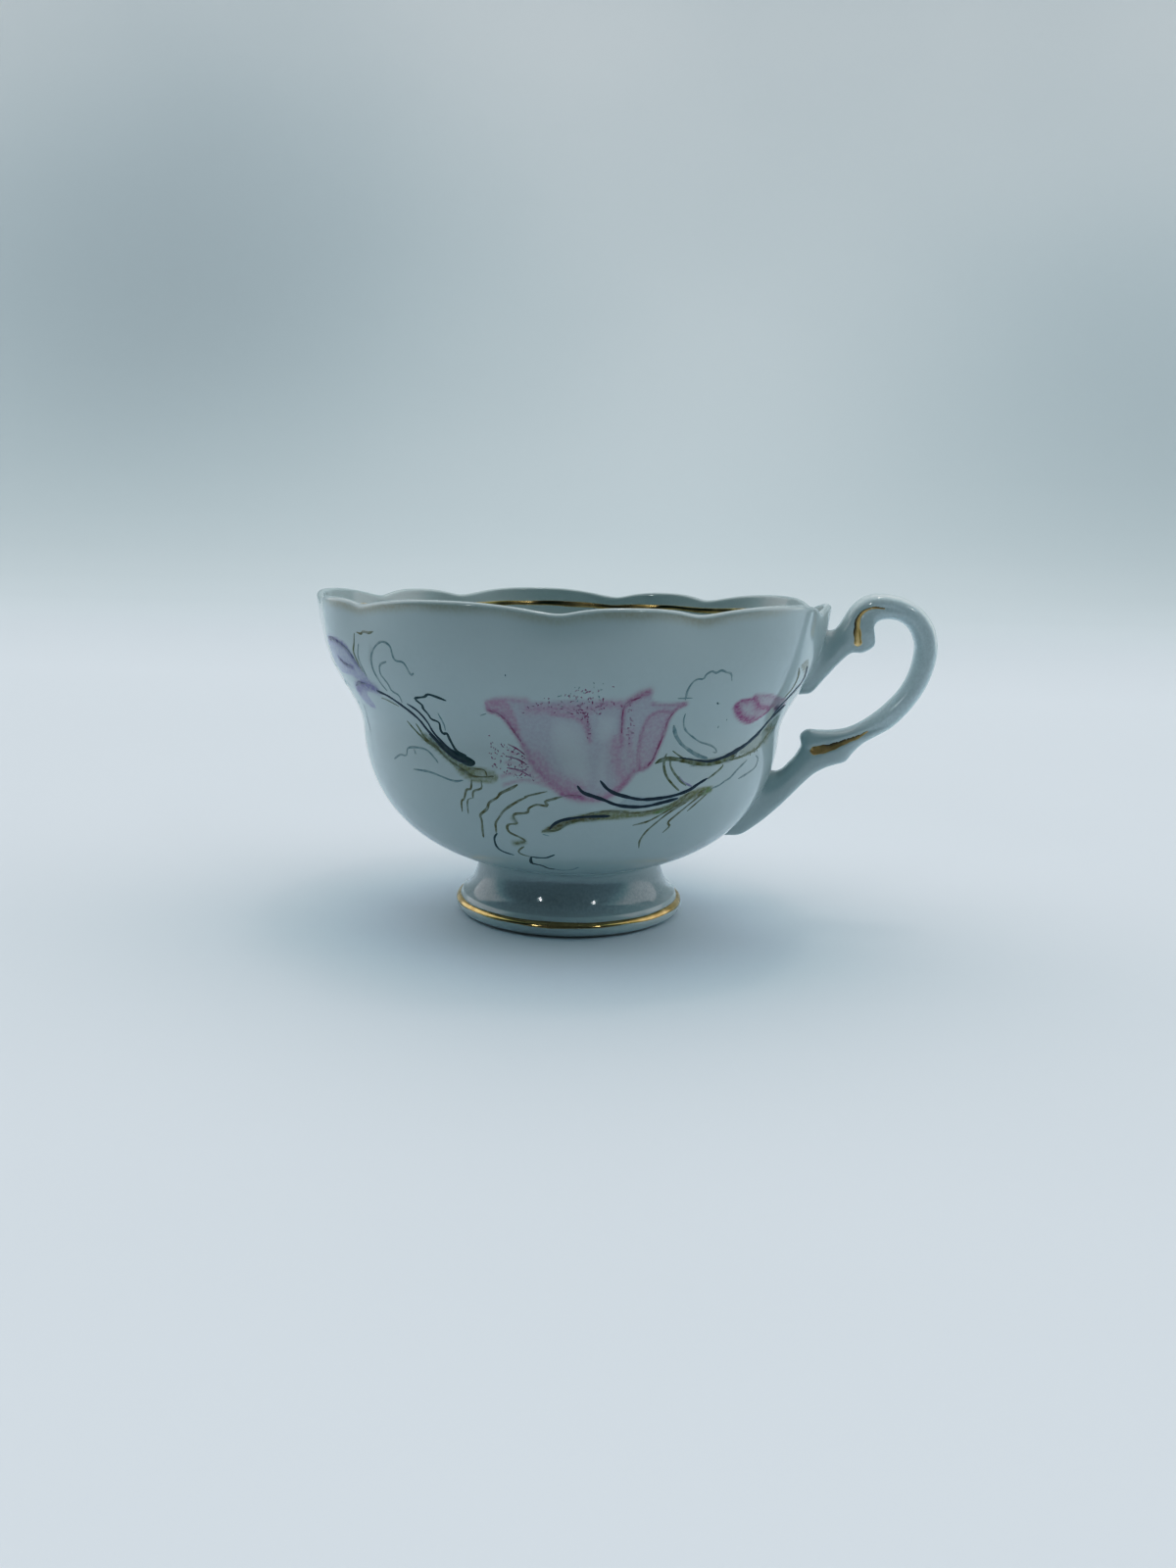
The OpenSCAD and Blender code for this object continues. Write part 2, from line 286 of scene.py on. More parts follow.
class Shader:
    """A node material with short calls for the nodes used here."""

    def __init__(self, name):
        self.material = bpy.data.materials.new(name)
        self.material.use_nodes = True
        self.tree = self.material.node_tree
        self.bsdf = self.tree.nodes["Principled BSDF"]
        self.place = self.tree.nodes.new("ShaderNodeTexCoord").outputs["Object"]

    def link(self, a, b):
        self.tree.links.new(a, b)

    def put(self, name, value):
        """Sets one of the shader's inputs, or links it to what makes it."""
        if isinstance(value, (int, float)):
            self.bsdf.inputs[name].default_value = value
        else:
            self.link(value, self.bsdf.inputs[name])

    def noise(self, size, detail=3.0):
        """Noise with features of about size mm."""
        node = self.tree.nodes.new("ShaderNodeTexNoise")
        node.inputs["Scale"].default_value = 1 / (size * MM)
        node.inputs["Detail"].default_value = detail
        self.link(self.place, node.inputs["Vector"])
        return node.outputs["Fac"]

    def spread(self, value, low, high, to_low=0.0, to_high=1.0):
        node = self.tree.nodes.new("ShaderNodeMapRange")
        for end, number in zip(("From Min", "From Max", "To Min", "To Max"), (low, high, to_low, to_high)):
            node.inputs[end].default_value = number
        self.link(value, node.inputs["Value"])
        return node.outputs["Result"]

    def times(self, a, b):
        node = self.tree.nodes.new("ShaderNodeMath")
        node.operation = "MULTIPLY"
        node.use_clamp = True
        self.link(a, node.inputs[0])
        self.link(b, node.inputs[1])
        return node.outputs[0]

    def blend(self, factor, a, b):
        node = self.tree.nodes.new("ShaderNodeMix")
        node.data_type = "RGBA"
        self.link(factor, node.inputs[0])
        for value, socket in ((a, node.inputs[6]), (b, node.inputs[7])):
            if isinstance(value, tuple):
                socket.default_value = (*value, 1)
            else:
                self.link(value, socket)
        return node.outputs[2]

    def fade_from(self, centre, reach):
        """Rises smoothly from 0 at a point to 1 at a reach from it, in metres."""
        gap = self.tree.nodes.new("ShaderNodeVectorMath")
        gap.operation = "DISTANCE"
        self.link(self.place, gap.inputs[0])
        gap.inputs[1].default_value = centre
        rise = self.spread(gap.outputs["Value"], 0.0, reach)
        rise.node.interpolation_type = "SMOOTHSTEP"
        return rise

    def bump(self, height, depth, strength=1.0, under=None):
        """Relief about depth mm high."""
        node = self.tree.nodes.new("ShaderNodeBump")
        node.inputs["Distance"].default_value = depth * MM
        node.inputs["Strength"].default_value = strength
        self.link(height, node.inputs["Height"])
        if under is not None:
            self.link(under, node.inputs["Normal"])
        return node.outputs["Normal"]


# Soft darker patches on the wall behind: centre and reach in metres, and their colour.
WALL_PATCHES = [((-0.95, 1.69, 0.34), 0.95), ((0.70, 1.60, 0.12), 0.8)]
PATCH = (0.37, 0.42, 0.44)


def shade(colour, factor):
    return tuple(c * factor for c in colour)


def porcelain():
    """Glazed body: a faintly mottled cool white with soft waves in the glaze, under the painted washes."""
    s = Shader("porcelain")
    body = s.blend(s.spread(s.noise(9), 0.35, 0.65), shade(GLAZE, 0.975), GLAZE)
    body = s.blend(s.spread(s.noise(0.9, 2), 0.4, 0.6), shade(GLAZE, 0.99), body)
    # besides the washes, the 'paint' colour carries painted shade in the foot's hollow and painted light on
    # the handle
    paint = s.tree.nodes.new("ShaderNodeAttribute")
    paint.attribute_name = "paint"
    grain = s.spread(s.noise(0.5, 4), 0.3, 0.7, 0.72, 1.2)
    body = s.blend(s.times(paint.outputs["Alpha"], grain), body, paint.outputs["Color"])
    s.put("Base Color", body)
    s.put("Roughness", s.spread(s.noise(3), 0.3, 0.7, 0.07, 0.12))
    waves = s.bump(s.noise(5, 1), 0.05, 0.35)
    s.put("Normal", s.bump(s.noise(0.7, 2), 0.004, 0.5, waves))
    s.put("IOR", 1.62)
    return s.material


def bisque():
    """The unglazed ring that the cup stands on, a little grey from use."""
    s = Shader("bisque")
    colour = s.blend(s.spread(s.noise(2.5, 5), 0.4, 0.62), (0.52, 0.50, 0.46), (0.74, 0.73, 0.69))
    s.put("Base Color", colour)
    s.put("Roughness", 0.85)
    s.put("Normal", s.bump(s.noise(0.25, 4), 0.03, 0.6))
    return s.material


def gold(name, thin, full, roughness):
    """Burnished gold over glaze, thinner and browner where the brush ran dry."""
    s = Shader(name)
    tone = s.blend(s.spread(s.noise(2.2, 4), 0.38, 0.66), thin, full)
    paint = s.tree.nodes.new("ShaderNodeAttribute")
    paint.attribute_name = "paint"
    # the mesh's 'paint' colour over the gold: painted shade in the handle strokes' grooves
    tone = s.blend(paint.outputs["Alpha"], tone, paint.outputs["Color"])
    s.put("Base Color", tone)
    s.put("Metallic", 1.0)
    s.put("Roughness", s.spread(s.noise(11, 3), 0.38, 0.62, *roughness))
    s.put("Normal", s.bump(s.noise(0.5, 3), 0.008, 0.5))
    return s.material


def enamel(name, pigment, thin):
    """Fired enamel line: dense where the brush was full, and letting the glaze through elsewhere."""
    s = Shader(name)
    density = s.spread(s.noise(1.1, 4), 0.32, 0.68, thin, 1.0)
    s.put("Base Color", s.blend(density, GLAZE, pigment))
    s.put("Roughness", s.spread(s.noise(0.5), 0.3, 0.7, 0.16, 0.28))
    s.put("Normal", s.bump(s.noise(0.3, 2), 0.01, 0.5))
    s.put("IOR", 1.35)
    return s.material


def floor_paint():
    """A pale, cool table top that runs up into a slightly darker wall that glows, with painted light that
    brightens the table away from the camera and painted shade that darkens its near end.
    """
    s = Shader("studio_floor")
    split = s.tree.nodes.new("ShaderNodeSeparateXYZ")
    s.link(s.place, split.inputs[0])
    near = s.blend(s.spread(s.noise(160, 4), 0.3, 0.7), (0.655, 0.735, 0.79), (0.67, 0.75, 0.805))
    # painted light: the table made paler further from the camera
    table = s.blend(s.spread(split.outputs["Y"], -0.12, 0.40), near, (0.80, 0.89, 0.95))
    # painted shade: the table's near end made almost black
    table = s.blend(s.spread(split.outputs["Y"], -0.32, -0.17), (0.05, 0.06, 0.07), table)
    wall = s.blend(s.spread(split.outputs["Z"], 0.1, 0.9), (0.45, 0.515, 0.545), (0.64, 0.675, 0.695))
    wall = s.blend(s.spread(s.noise(420, 1), 0.3, 0.7, 0, 0.12), wall, PATCH)
    for centre, reach in WALL_PATCHES:
        wall = s.blend(s.fade_from(centre, reach), PATCH, wall)
    far = s.spread(split.outputs["Y"], 0.75, 1.25)
    s.put("Base Color", s.blend(far, table, wall))
    # painted light: the wall glows with its own colour, rising towards the back
    s.put("Emission Color", wall)
    s.put("Emission Strength", s.spread(split.outputs["Y"], 0.75, 1.25, 0, 0.5))
    s.put("Roughness", 0.55)
    s.put("Normal", s.bump(s.noise(1.5, 3), 0.02, 0.25))
    return s.material


PORCELAIN = porcelain()
BISQUE = bisque()
GOLD = gold("gilding", (0.38, 0.29, 0.13), (0.54, 0.42, 0.21), (0.07, 0.34))
STROKE_GOLD = gold("gilding_strokes", (0.70, 0.51, 0.25), (0.95, 0.74, 0.42), (0.42, 0.60))


# ---- Painted washes, as colour on the bowl's points ----

TURNS = (0, 180)                # the spray is on the side seen, and again on the far side


def tint(*shares):
    """A pigment as a share of the bare glaze's colour."""
    return tuple(share * glaze for share, glaze in zip(shares, GLAZE))


LAVENDER = tint(0.80, 0.62, 0.74)
PINK = tint(0.87, 0.47, 0.62)
ROSE = tint(0.71, 0.33, 0.47)
MAGENTA = tint(0.58, 0.12, 0.33)
LILAC = tint(0.54, 0.49, 0.76)
VIOLET = tint(0.22, 0.18, 0.50)
OLIVE = tint(0.26, 0.27, 0.12)
DARK_OLIVE = tint(0.11, 0.15, 0.09)
LEAF_GREEN = tint(0.36, 0.46, 0.22)
OCHRE = tint(0.42, 0.37, 0.17)
PALE_BLUE = tint(0.64, 0.68, 0.76)
PALE = tint(1.05, 1.0, 1.0)

# Each wash: outline as a text of "angle height" points, colour, strength in the middle, strength at the
# outline, and width of the darker edge in mm.
WASHES = [
    # the open flower: its body, its pale heart and throat, the curl at its left and its right petal
    ("101 43.3, 100.6 44.7, 96.6 45.3, 90.5 44.8, 84 45.2, 76.9 45.3, 71.1 45.3, 67 46.9, 65.5 45, 58 44.7, "
     "60 44, 61.1 42, 61.1 39.5, 62.5 36, 64.4 34.1, 67 33.2, 69.5 31.2, 73.6 29.2, 78.4 28.8, 82 29.4, "
     "85.5 30.4, 87.8 31.8, 91.3 34.1, 93.6 37.3, 95.6 39.7, 97.9 42.2", LAVENDER, 0.62, 0.75, 1.0),
    ("87 42.6, 82.3 42.2, 79.8 40.6, 78.2 37, 77.5 32, 80 31, 84.5 33, 87 36, 88 39.5", PALE, 0.75, 0.0, 1.2),
    ("77.6 43.2, 73 43, 72.8 39.5, 75.5 38, 77.6 39.5", PALE, 0.75, 0.0, 0.9),
    ("77 31, 76.6 36, 74.5 37.5, 74 33, 74.2 30.8", PALE, 0.5, 0.0, 0.8),
    ("101 43.2, 100.6 44.5, 97 44.8, 95.4 43, 94.6 39.5, 95.6 39.7, 97.9 42.2", PINK, 0.55, 0.8, 0.8),
    ("66.5 34, 66.9 36.4, 66.6 40.5, 65.6 43, 61.7 43.5, 61.2 39.5, 62.6 36, 64.5 34.2",
     PINK, 0.30, 0.5, 0.8),
    # bud on the right: lower petal, then the petal over it
    ("44.5 43.8, 42 42.2, 39 41, 36 40.5, 33 40.7, 29 42.2, 31.5 42.9, 35.5 43.3, 38.5 44.9, 41 44.9, "
     "43.9 44.6", MAGENTA, 0.22, 0.98, 1.0),
    ("39.8 45.5, 38 44.6, 34.5 43.1, 28 42.8, 24 41.6, 20.5 42.6, 21.5 43.5, 28 44.3, 32 45, 36 45.4",
     MAGENTA, 0.30, 0.62, 0.7),
    # buds on the left
    ("132.5 45.3, 133.9 47.1, 135.6 48.8, 138.1 51.6, 140.8 52.4, 144.2 52.7, 149 52.5, 151 50.1, 150.1 48, "
     "147.8 46.8, 140.9 46.6, 136.8 45.9", LILAC, 0.6, 0.85, 0.8),
    ("131.1 44.5, 135.4 45.7, 138.1 45.6, 141.7 44.7, 143.8 43.3, 141.8 41.6, 137.6 41.3, 138.2 43.4, "
     "136.1 44.3", LILAC, 0.7, 0.8, 0.6),
    # long leaf under the flower, and the pale ribbon over it
    ("90 22.8, 86.5 23.1, 83.5 24.3, 80 25, 75 25.3, 68 25.6, 60 26.1, 55 27.1, 50 28.3, 44.3 29.3, "
     "46.5 29.8, 52 29.2, 58 27, 64 26.4, 72 26.8, 79 26.1, 85 24.9", OCHRE, 0.75, 0.9, 0.5),
    ("71 27.6, 66 27.4, 60 27.8, 54.7 28.5, 56 29.1, 62 28.7, 68 29", PALE_BLUE, 0.5, 0.6, 0.4),
    ("60.5 26, 57.5 26.4, 56.3 27, 59 26.9", LEAF_GREEN, 0.7, 0.7, 0.4),
    ("47.5 28.6, 44.6 29.1, 44.9 29.7, 47.5 29.4", LEAF_GREEN, 0.8, 0.8, 0.4),
    # leaves where the stems meet on the left
    ("122 37.5, 117.5 35.7, 113 33.8, 107.5 31.9, 106.5 32.7, 111 34.2, 116 36.2, 120.5 37.8",
     OLIVE, 0.6, 0.75, 0.5),
    ("112 33.2, 107 33.3, 101.5 32.7, 101 31.4, 106 31, 110 31.8", OCHRE, 0.55, 0.7, 0.5),
    # band under the long stem, its leaf, and the double arc by the flower
    ("53.5 34.9, 48 34.6, 42 34.8, 37 35.4, 39 34.3, 46 33.9, 51.5 34.1", DARK_OLIVE, 0.6, 0.8, 0.5),
    ("37 35.5, 31 36.8, 25.5 38.4, 21 40.2, 17.5 40.3, 17.5 38.2, 21 36.6, 27 35.4, 33 34.8",
     OLIVE, 0.34, 0.5, 0.5),
    # green tip of the stem beside the handle
    ("24.4 49.8, 21.7 50.6, 18.4 49.2, 17.6 47.6, 19.5 48.4, 21.6 48.9", OLIVE, 0.6, 0.7, 0.5),
]

# Soft brush marks: line, colour, width in mm, strength.
BRUSHES = [
    ("100.8 43.2, 99.3 42.9, 97.9 42.3, 95.6 39.7, 93.8 37.4", ROSE, 0.8, 0.85),
    ("93.8 37.4, 91.3 34.1, 87.8 31.8, 84.3 30.2, 80.8 29.6", ROSE, 1.1, 0.75),
    ("91 35.5, 88 33, 84.3 31.5, 80.5 30.8", PINK, 2.6, 0.6),
    ("85.5 30.3, 82 29.2, 78.4 28.9, 73.6 29.4, 69.1 32.3", PINK, 1.3, 0.85),
    ("58.2 44.6, 60 43.9, 61.1 42, 61.2 39.5, 62.6 36, 64.4 34.2, 67.3 33.7, 69.1 32.2, 71.5 30",
     ROSE, 0.75, 0.85),
    ("66.4 33.8, 66.8 36.4, 66.7 40.5, 65.7 42.8, 63.8 43.5, 61 43.5", ROSE, 0.6, 0.7),
    ("71 37.6, 71.6 41.4, 71.9 43.8, 71.1 45.2, 68.8 46.1, 67.3 46.8", ROSE, 0.75, 0.8),
    ("70.6 45.6, 68.9 46.6, 67.2 47", ROSE, 1.2, 0.7),
    ("72.5 38.5, 72 35.5, 70.8 33", PINK, 2.4, 0.6),
    ("69.5 40, 68.8 37, 68.2 34.5", PINK, 1.6, 0.45),
    ("87.1 43.1, 84.5 42.9, 82.3 42.6, 80.6 41.9, 79.4 40.6, 78.4 38.6", PINK, 0.7, 0.8),
    ("80.2 43, 79.3 41.8, 78.9 40.2", ROSE, 0.8, 0.6),
    ("92 43.6, 88 43.8, 84 44, 80 43.8, 76.5 44.8, 71.5 45", PINK, 1.6, 0.55),
    ("66 44.9, 62 44.6, 58.5 44.9", ROSE, 0.6, 0.6),
    ("100.5 44.4, 97 45.2, 92 45.2", PINK, 1.0, 0.5),
    ("99.5 32.2, 95 33.2, 91 32.4, 86.5 30.8", PINK, 0.7, 0.6),
    ("99 30.8, 94 31.8, 89 31.2, 84.5 29.9", PINK, 0.6, 0.6),
    ("98.2 34.6, 94.6 34.2, 91.8 33.2", PINK, 0.5, 0.6),
    ("97.6 36.4, 95 35.8, 92.6 34.6", PINK, 0.5, 0.6),
    ("85 29.6, 82 29.4, 79.5 29.2", MAGENTA, 0.7, 0.55),
    ("44 43.9, 42.3 42.7, 40 41.8, 37.5 41.2, 35 41.1", MAGENTA, 1.1, 0.85),
    ("39.5 45.3, 37.5 44.3, 35 43.4, 31 43", MAGENTA, 0.7, 0.5),
    ("26 42.6, 23.5 42.1, 21.5 42.5", (0.07, 0.03, 0.08), 0.9, 0.75),
    ("138.2 48, 141.8 48.4, 144.5 49.2", VIOLET, 1.1, 0.9),
    ("135.6 48.8, 138.1 51.2, 140.8 51.9, 144.2 52.3, 149 52", VIOLET, 1.1, 0.8),
    ("132 44.8, 136 45.2, 139.5 44.8, 142.2 43.8", VIOLET, 1.7, 0.9),
    ("118.5 37.8, 115.5 36.4, 112 35, 107.5 34.1", (0.03, 0.09, 0.12), 1.0, 0.6),
    ("98.8 20, 97 20.2, 95.6 20.6", OCHRE, 1.0, 0.8),
    ("97.6 25, 96.9 24.6, 97 24.2", OCHRE, 0.8, 0.6),
    ("88.5 23.4, 85 24.2, 81 25.2, 76 25.4", (0.10, 0.09, 0.04), 0.6, 0.7),
    ("24 38.6, 21 38.2, 18 38.2", (0.08, 0.07, 0.03), 1.0, 0.6),
    ("128 52, 129.5 49.5, 129 47", (0.28, 0.36, 0.37), 0.9, 0.3),
    ("150 41, 149 38, 148.5 36", (0.28, 0.36, 0.37), 1.0, 0.3),
]


WASH_BLEED = 0.22               # mm over which a wash fades outside its outline


def distance_to(line, points):
    """Distance in mm from each point to a line of points."""
    best = np.full(len(points), np.inf)
    for a, b in zip(line[:-1], line[1:]):
        along = b - a
        t = np.clip((points - a) @ along / max(along @ along, 1e-9), 0, 1)
        best = np.minimum(best, np.hypot(*(points - a - t[:, None] * along).T))
    return best


def inside(outline, points):
    result = np.zeros(len(points), bool)
    x, y = points.T
    for (ax, ay), (bx, by) in zip(outline, np.roll(outline, -1, axis=0)):
        crosses = (ay > y) != (by > y)
        result ^= crosses & (x < (bx - ax) * (y - ay) / (by - ay + 1e-12) + ax)
    return result


def near(line, points, reach):
    low, high = line.min(0) - reach, line.max(0) + reach
    return np.where(np.all((points > low) & (points < high), axis=1))[0]


def lay(paint, where, colour, strength):
    """Lays a translucent colour over what is painted there."""
    colour = np.array(colour)
    below = paint[where, 3]
    total = strength + below * (1 - strength)
    share = (strength / np.maximum(total, 1e-6))[:, None]
    paint[where, :3] = paint[where, :3] * (1 - share) + colour * share
    paint[where, 3] = total


def paint_bowl(az, z):
    """Colour and cover of the painted washes at each point of the bowl's outside."""
    paint = np.zeros((az.size, 4))
    for turn in TURNS:
        around = (az.ravel() - turn + 180) % 360 - 180
        points = np.stack([np.radians(around) * FLAT_R, z.ravel()], -1)
        for text, colour, middle, edge, width in WASHES:
            outline = points_in(text)
            line = smooth(flat(outline + outline[:1]), 0.4)
            where = near(line, points, 0.8)
            d = distance_to(line, points[where])
            within = inside(line[:-1], points[where])
            inwards, outwards = np.exp(-d / width), np.exp(-(d / WASH_BLEED) ** 2)
            lay(paint, where, colour, np.where(within, middle + (edge - middle) * inwards, edge * outwards))
        for marks, colour, width, strength in BRUSHES:
            line = smooth(flat(points_in(marks)), 0.4)
            where = near(line, points, width * 1.5)
            share = distance_to(line, points[where]) / (width / 2)
            lay(paint, where, colour, strength * np.exp(-share ** 2))
    return paint


INSIDE, INSIDE_COVER = (0.30, 0.32, 0.29), 0.14     # a faint darker, greyer tint over the whole inside
WEAR = (0.36, 0.36, 0.28)       # warm tone where the glaze has run thin along the rim's edge


def wear(az, z):
    """Cover of the warm tone along the rim's outer edge."""
    a = np.radians(az)
    patches = 0.55 + 0.35 * np.sin(2 * a - 1.2) + 0.25 * np.sin(5 * a + 0.4) + 0.12 * np.sin(23 * a)
    below = rim_height(az) - z
    return 0.75 * np.clip(patches, 0, 1) * np.exp(-((below - 0.9) / 0.8) ** 2)


# ---- The bowl ----

def quarter(low, depth, count):
    """Heights of the belly's rows from low up to the waist, closer together towards the floor."""
    start = math.acos(((WAIST_H - low) / depth) ** (BELLY_POWER / 2))
    angles = np.linspace(start, math.pi / 2, count)
    return WAIST_H - depth * np.cos(angles) ** (2 / BELLY_POWER)


BOWL_COLUMNS = 720
FOOT_COLUMNS = 540
UNDERSIDE = (0.02, 0.2, 0.4, 0.6, 0.8, 0.9)     # rows seen inside the foot, as shares of the neck's radius
UNDERSIDE_RISE = 0.25                           # how far the underside's middle is above its edge


def make_bowl():
    columns = BOWL_COLUMNS
    az = np.arange(columns) * 360 / columns
    rim_round = RIM_WALL / 2
    top = rim_height(az) - rim_round
    rows = []                                       # each row is (radius, height) over all the angles

    def row(radius, height):
        rows.append(np.stack([np.broadcast_to(radius, columns), np.broadcast_to(height, columns)], -1))

    neck = wall_radius(az, JOINT_H)
    for share in UNDERSIDE:
        row(neck * share, JOINT_H + UNDERSIDE_RISE * (1 - share ** 2))
    for z in quarter(JOINT_H, BELLY_DEPTH, 96):
        row(wall_radius(az, z), z)
    for share in np.linspace(0, 1, 49)[1:]:
        z = WAIST_H + (top - WAIST_H) * share
        row(wall_radius(az, z), z)
    painted_rows = len(rows)
    for turn in np.linspace(0, math.pi, 13)[1:-1]:
        row(wall_radius(az, top) - rim_round * (1 - math.cos(turn)), top + rim_round * math.sin(turn))
    for share in np.linspace(1, 0, 40)[:-1]:
        z = WAIST_H + (top - WAIST_H) * share
        row(wall_radius(az, z) - wall_thickness(z), z)
    inner_depth = WAIST_H - JOINT_H - FLOOR_T
    for z in quarter(JOINT_H + FLOOR_T + 0.1, inner_depth, 42)[::-1]:
        row(wall_radius(az, z, WALL, BELLY_DEPTH - inner_depth), z)
    last = rows[-1][:, 0]
    for share in (0.6, 0.3, 0.05):
        row(last * share, JOINT_H + FLOOR_T + 0.1 * share)

    grid = np.stack(rows, 1)                        # columns, rows, (radius, height)
    points = polar(grid[..., 0], az[:, None], grid[..., 1])
    faces = grid_faces(columns, len(rows), True, caps=(True, True))
    paint = np.zeros((columns, len(rows), 4))
    painted = slice(len(UNDERSIDE), painted_rows)
    outside = grid[:, painted, 1]
    where = np.broadcast_to(az[:, None], outside.shape)
    layer = paint_bowl(where, outside)
    lay(layer, np.arange(len(layer)), WEAR, wear(where, outside).ravel())
    paint[:, painted] = layer.reshape(*outside.shape, 4)
    paint[:, painted_rows:] = (*INSIDE, INSIDE_COVER)
    bowl = mesh_object("porcelain_bowl", points.reshape(-1, 3), faces, PORCELAIN, paint)
    return finish_piece(bowl, "porcelain", "bowl")


# ---- The foot ----

def arc_points(centre, radius, start, end, count):
    angles = np.radians(np.linspace(start, end, count))
    return [(centre[0] + radius * math.cos(a), centre[1] + radius * math.sin(a)) for a in angles]


BEAD_CENTRE = (FOOT_R - BEAD_R, BEAD_H)
LATHE_COLUMNS = 360
BISQUE_TOP = 0.16               # the ring below this height is unglazed
HOLLOW_PAINTED_SHADE, HOLLOW_PAINTED_SHADE_COVER = (0.10, 0.17, 0.20), 0.42     # painted shade: the foot's hollow darkened for the shade that falls in it


def lathe(name, profile, material, paint):
    """A piece turned from its closed profile, with the colour and cover at each of the profile's points."""
    az = np.arange(LATHE_COLUMNS) * 360 / LATHE_COLUMNS
    profile = np.array(profile)
    radius = profile[None, :, 0] + wobble(az, 0)[:, None] * 0.5
    points = polar(radius, az[:, None], np.broadcast_to(profile[None, :, 1], radius.shape))
    faces = grid_faces(LATHE_COLUMNS, len(profile), True, True)
    return mesh_object(name, points.reshape(-1, 3), faces, material, np.tile(paint, (LATHE_COLUMNS, 1)))


def make_foot():
    across, up = 4.1, 7.2                           # half axes of the hollow from the neck to the bead
    hollow = [(NECK_R + across * (1 - math.cos(t)), JOINT_H - up * math.sin(t))
              for t in np.radians(np.linspace(76, 6, 22))]
    fillet = [(NECK_R + out, JOINT_H + rise)        # where the foot is luted to the bowl
              for out, rise in ((0.05, -0.35), (0.15, -0.05), (0.45, 0.12), (1.0, 0.3), (1.5, 0.55))]
    soft = 0.35                                     # rounding of the edges of the ring it stands on
    ring_out, ring_in = BEAD_CENTRE[0] - 0.2, STAND_INNER_R + 0.4
    stand = arc_points((ring_in + soft, soft), soft, 180, 270, 5)
    stand += arc_points((ring_out - soft + 0.3, soft * 0.6), soft * 0.6, 270, 310, 3)
    bead = arc_points(BEAD_CENTRE, BEAD_R, -62, 76, 26)
    inner = [(NECK_R - 1.2, JOINT_H + 0.2), (NECK_INNER_R + 0.3, JOINT_H + 0.1),
             (NECK_INNER_R, JOINT_H - 0.4), (NECK_INNER_R + 0.5, JOINT_H - 2),
             (NECK_INNER_R + 1.6, JOINT_H / 2), (STAND_INNER_R - 0.4, 1.8), (STAND_INNER_R, 0.9)]
    profile = stand + bead + hollow + fillet + inner
    # painted shade, strongest in the middle of the hollow
    depth = np.array([math.sin(math.pi * k / (len(hollow) - 1)) ** 0.5 for k in range(len(hollow))])
    cover = np.zeros(len(profile))
    cover[len(stand + bead):][:len(hollow)] = HOLLOW_PAINTED_SHADE_COVER * depth
    paint = np.column_stack([np.tile(HOLLOW_PAINTED_SHADE, (len(cover), 1)), cover])
    foot = lathe("porcelain_foot", profile, PORCELAIN, paint)
    foot.data.materials.append(BISQUE)
    for face in foot.data.polygons:
        if face.center.z < BISQUE_TOP * MM:
            face.material_index = 1
    return finish_piece(foot, "porcelain", "foot")


# ---- The handle ----

# Stations along the handle, from its upper joint round to its lower one: a point on the outer edge and the
# point on the inner edge across from it, as (out, up) in the plane of the handle.
STATIONS = [
    (46.4, 54.8, 42.2, 42.9), (47.8, 55.0, 44.4, 43.4), (48.6, 55.7, 46.6, 46.0), (49.6, 57.4, 48.8, 48.6),
    (50.5, 59.0, 51.0, 50.7), (51.6, 60.2, 53.3, 51.0), (52.9, 61.1, 55.2, 52.4), (54.2, 61.6, 54.7, 54.9),
    (55.6, 61.7, 55.5, 56.6), (57.4, 61.6, 57.3, 57.1), (59.6, 61.1, 59.0, 56.9), (62.1, 59.9, 60.5, 56.1),
    (64.2, 58.0, 61.6, 54.7), (65.8, 55.3, 62.3, 52.9), (66.4, 52.0, 62.4, 51.0), (66.1, 48.9, 61.8, 47.7),
    (64.8, 45.0, 60.3, 44.5), (62.5, 41.1, 57.6, 41.3), (59.6, 37.8, 54.5, 38.7), (56.6, 35.8, 51.6, 37.1),
    (54.4, 34.4, 48.9, 36.5), (52.7, 32.6, 46.2, 36.4), (51.3, 30.8, 44.0, 36.4), (49.4, 30.1, 42.8, 35.2),
    (47.6, 29.4, 43.0, 33.3), (45.4, 28.0, 42.0, 31.3), (43.0, 25.5, 40.9, 30.0), (40.4, 22.6, 39.9, 28.9),
    (37.9, 20.1, 38.9, 28.4), (35.4, 17.9, 38.1, 28.4), (32.6, 16.0, 37.7, 28.5), (30.0, 15.7, 37.3, 28.6),
]
SECTION_POWER = 2.7
SECTION_POINTS = 96
HANDLE_PAINTED_LIGHT = (0.66, 0.77, 0.79)     # painted light: the handle's glaze lightened for the light it catches

# Gilding strokes on the handle's sides: (out, up, half width).
UPPER_STROKE = [(52.1, 52.2, 0.85), (51.9, 54.0, 0.8), (51.7, 55.6, 0.65), (51.8, 57.1, 0.45),
                (52.6, 58.4, 0.3), (54.3, 59.2, 0.25), (56.3, 59.1, 0.15)]
LOWER_STROKE = [(44.6, 32.8, 0.7), (45.8, 33.0, 0.95), (47.9, 33.5, 0.8), (49.6, 34.2, 0.6),
                (51.3, 35.0, 0.45), (53.1, 35.8, 0.35), (54.8, 36.9, 0.15)]

